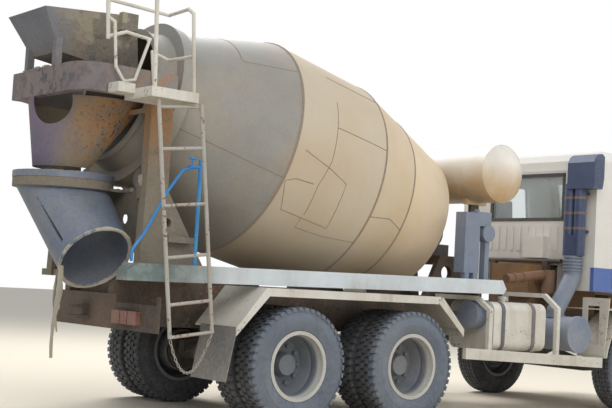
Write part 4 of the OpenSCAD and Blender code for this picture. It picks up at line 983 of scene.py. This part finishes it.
# Door window rubbers: a strip along each edge of the opening, one set on each door. They lie
# on the door's outer face and swing with it.
window = [Vector((2.68, 0, 1.99)), Vector((3.48, 0, 1.99)), Vector((3.41, 0, 2.62)),
          Vector((2.68, 0, 2.62))]
door_face, rubber_wide, rubber_thick = 1.0, 0.03, 0.008
for body, node, side in (("right_door", "door_r", -1), ("left_door", "door_l", 1)):
    outward = Vector((0, side, 0))
    shift = outward * door_face
    edge_strips = []
    for a, b in zip(window, window[1:] + window[:1]):
        corner_lap = (b - a).normalized() * (rubber_wide / 2)
        edge_strips.append(strip_between(a - corner_lap + shift, b + corner_lap + shift,
            rubber_wide, rubber_thick, outward))
    piece(node + "_rubber", edge_strips, rubber, body)


# Tyres: one carcass of black rubber is set in each place with its tread. The rear twins have
# deep shoulder lugs and two staggered rows of blocks, the front ones five ribs cut by fine
# notches. The outer walls are paler and bluish: road dust, and painted light from the sky on
# the outward faces.
tyre_rubber = weathered("tyre", (0.018, 0.019, 0.024), (0.035, 0.038, 0.045),
    dust=(0.30, 0.30, 0.31), rust=(0.16, 0.13, 0.10), fade=0.8, chips=0.12, runs=0.0,
    dusting=0.5, splash=1.1, gloss=0.8, bump=0.3)
tyre_aside = places(tyre_rubber)[1]
# outer walls, from 1.125 m off the middle line: road dust and painted bluish sky light
repaint(tyre_rubber, span(tyre_rubber.node_tree, tyre_aside, 1.125, 1.165), (0.085, 0.105, 0.14),
    (0.15, 0.175, 0.21))
tread_r, groove_r = 0.510, 0.494
# outline of a tyre as (radius, distance across), from one bead round to the other
tyre_side = [(0.298, 0.092), (0.313, 0.113), (0.330, 0.119), (0.365, 0.131), (0.392, 0.1345),
             (0.400, 0.1345), (0.404, 0.131), (0.430, 0.1305), (0.436, 0.127), (0.455, 0.125),
             (0.486, 0.117), (groove_r, 0.108)]
tyre_outline = ([(r, -y) for r, y in tyre_side] + [(r, y) for r, y in tyre_side[::-1]]
                + [(0.292, 0.06), (0.292, -0.06)])


def turned(outline, steps):
    """A closed outline of (radius, distance along Y) turned round the Y axis."""
    count = len(outline)
    corners = [(r * math.cos(2 * math.pi * k / steps), y, r * math.sin(2 * math.pi * k / steps))
               for k in range(steps) for r, y in outline]
    faces = [(k * count + j, ((k + 1) % steps) * count + j,
              ((k + 1) % steps) * count + (j + 1) % count, k * count + (j + 1) % count)
             for k in range(steps) for j in range(count)]
    return corners, faces


def tread_block(turn, wide, edges):
    """A block on the tread from its middle and half width as angles, and from sections of it,
    each with its inner and outer radius, its place across and its skew."""
    corners = []
    for r_in, r_out, y, skew in edges:
        for a, r in ((turn + skew - wide, r_in), (turn + skew + wide, r_in),
                     (turn + skew + wide * 0.9, r_out), (turn + skew - wide * 0.9, r_out)):
            corners.append((r * math.cos(a), y, r * math.sin(a)))
    return corners, capped(len(edges), 4)


tread_foot = groove_r - 0.01
lugs = []
lug_count = 46
pitch = 2 * math.pi / lug_count
for k in range(lug_count):
    for side in (-1, 1):
        start = (k + (0.5 if side > 0 else 0)) * pitch
        # shoulder lug, running over the edge and down the side
        lugs.append(tread_block(start, pitch * 0.33, [
            (tread_foot, tread_r, side * 0.062, 0),
            (tread_foot, tread_r - 0.002, side * 0.118, 0.02 * side),
            (0.482, 0.499, side * 0.127, 0.02 * side),
            (0.474, 0.480, side * 0.130, 0.02 * side)]))
        # block beside the middle
        lugs.append(tread_block(start + pitch * 0.5, pitch * 0.36, [
            (tread_foot, tread_r, side * 0.006, 0),
            (tread_foot, tread_r, side * 0.050, 0.015 * side)]))
ribs = []
notch_count = 60
rib_pitch = 2 * math.pi / notch_count
for k in range(notch_count):
    for y0, y1 in ((-0.112, -0.072), (-0.060, -0.022), (-0.010, 0.010), (0.022, 0.060),
                   (0.072, 0.112)):
        ribs.append(tread_block(k * rib_pitch, rib_pitch * 0.46, [
            (tread_foot, tread_r, y0, 0),
            (tread_foot, tread_r, y1, 0)]))
carcass = turned(tyre_outline, 92)


def moved(parts, offset):
    """The same parts somewhere else."""
    return [([tuple(c + o for c, o in zip(corner, offset)) for corner in corners], faces)
            for corners, faces in parts]


# name: axle place, middle planes of its tyres, tread, body
axle_high = 0.51
wheel_places = {
    "tyre_front_r": (2.92, (-1.02,), ribs, "front_wheel_r"),
    "tyre_front_l": (2.92, (1.02,), ribs, "front_wheel_l"),
    "tyres_mid_r": (-0.63, (-0.77, -1.09), lugs, "mid_wheels_r"),
    "tyres_mid_l": (-0.63, (0.77, 1.09), lugs, "mid_wheels_l"),
    "tyres_rear_r": (-1.98, (-0.77, -1.09), lugs, "rear_wheels_r"),
    "tyres_rear_l": (-1.98, (0.77, 1.09), lugs, "rear_wheels_l"),
}
for name, (x, planes, tread, body) in wheel_places.items():
    parts = []
    for y in planes:
        parts += moved([carcass] + tread, (x, y, axle_high))
    made = piece(name + "_rubber", parts, tyre_rubber, body, 30)
    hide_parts(name)
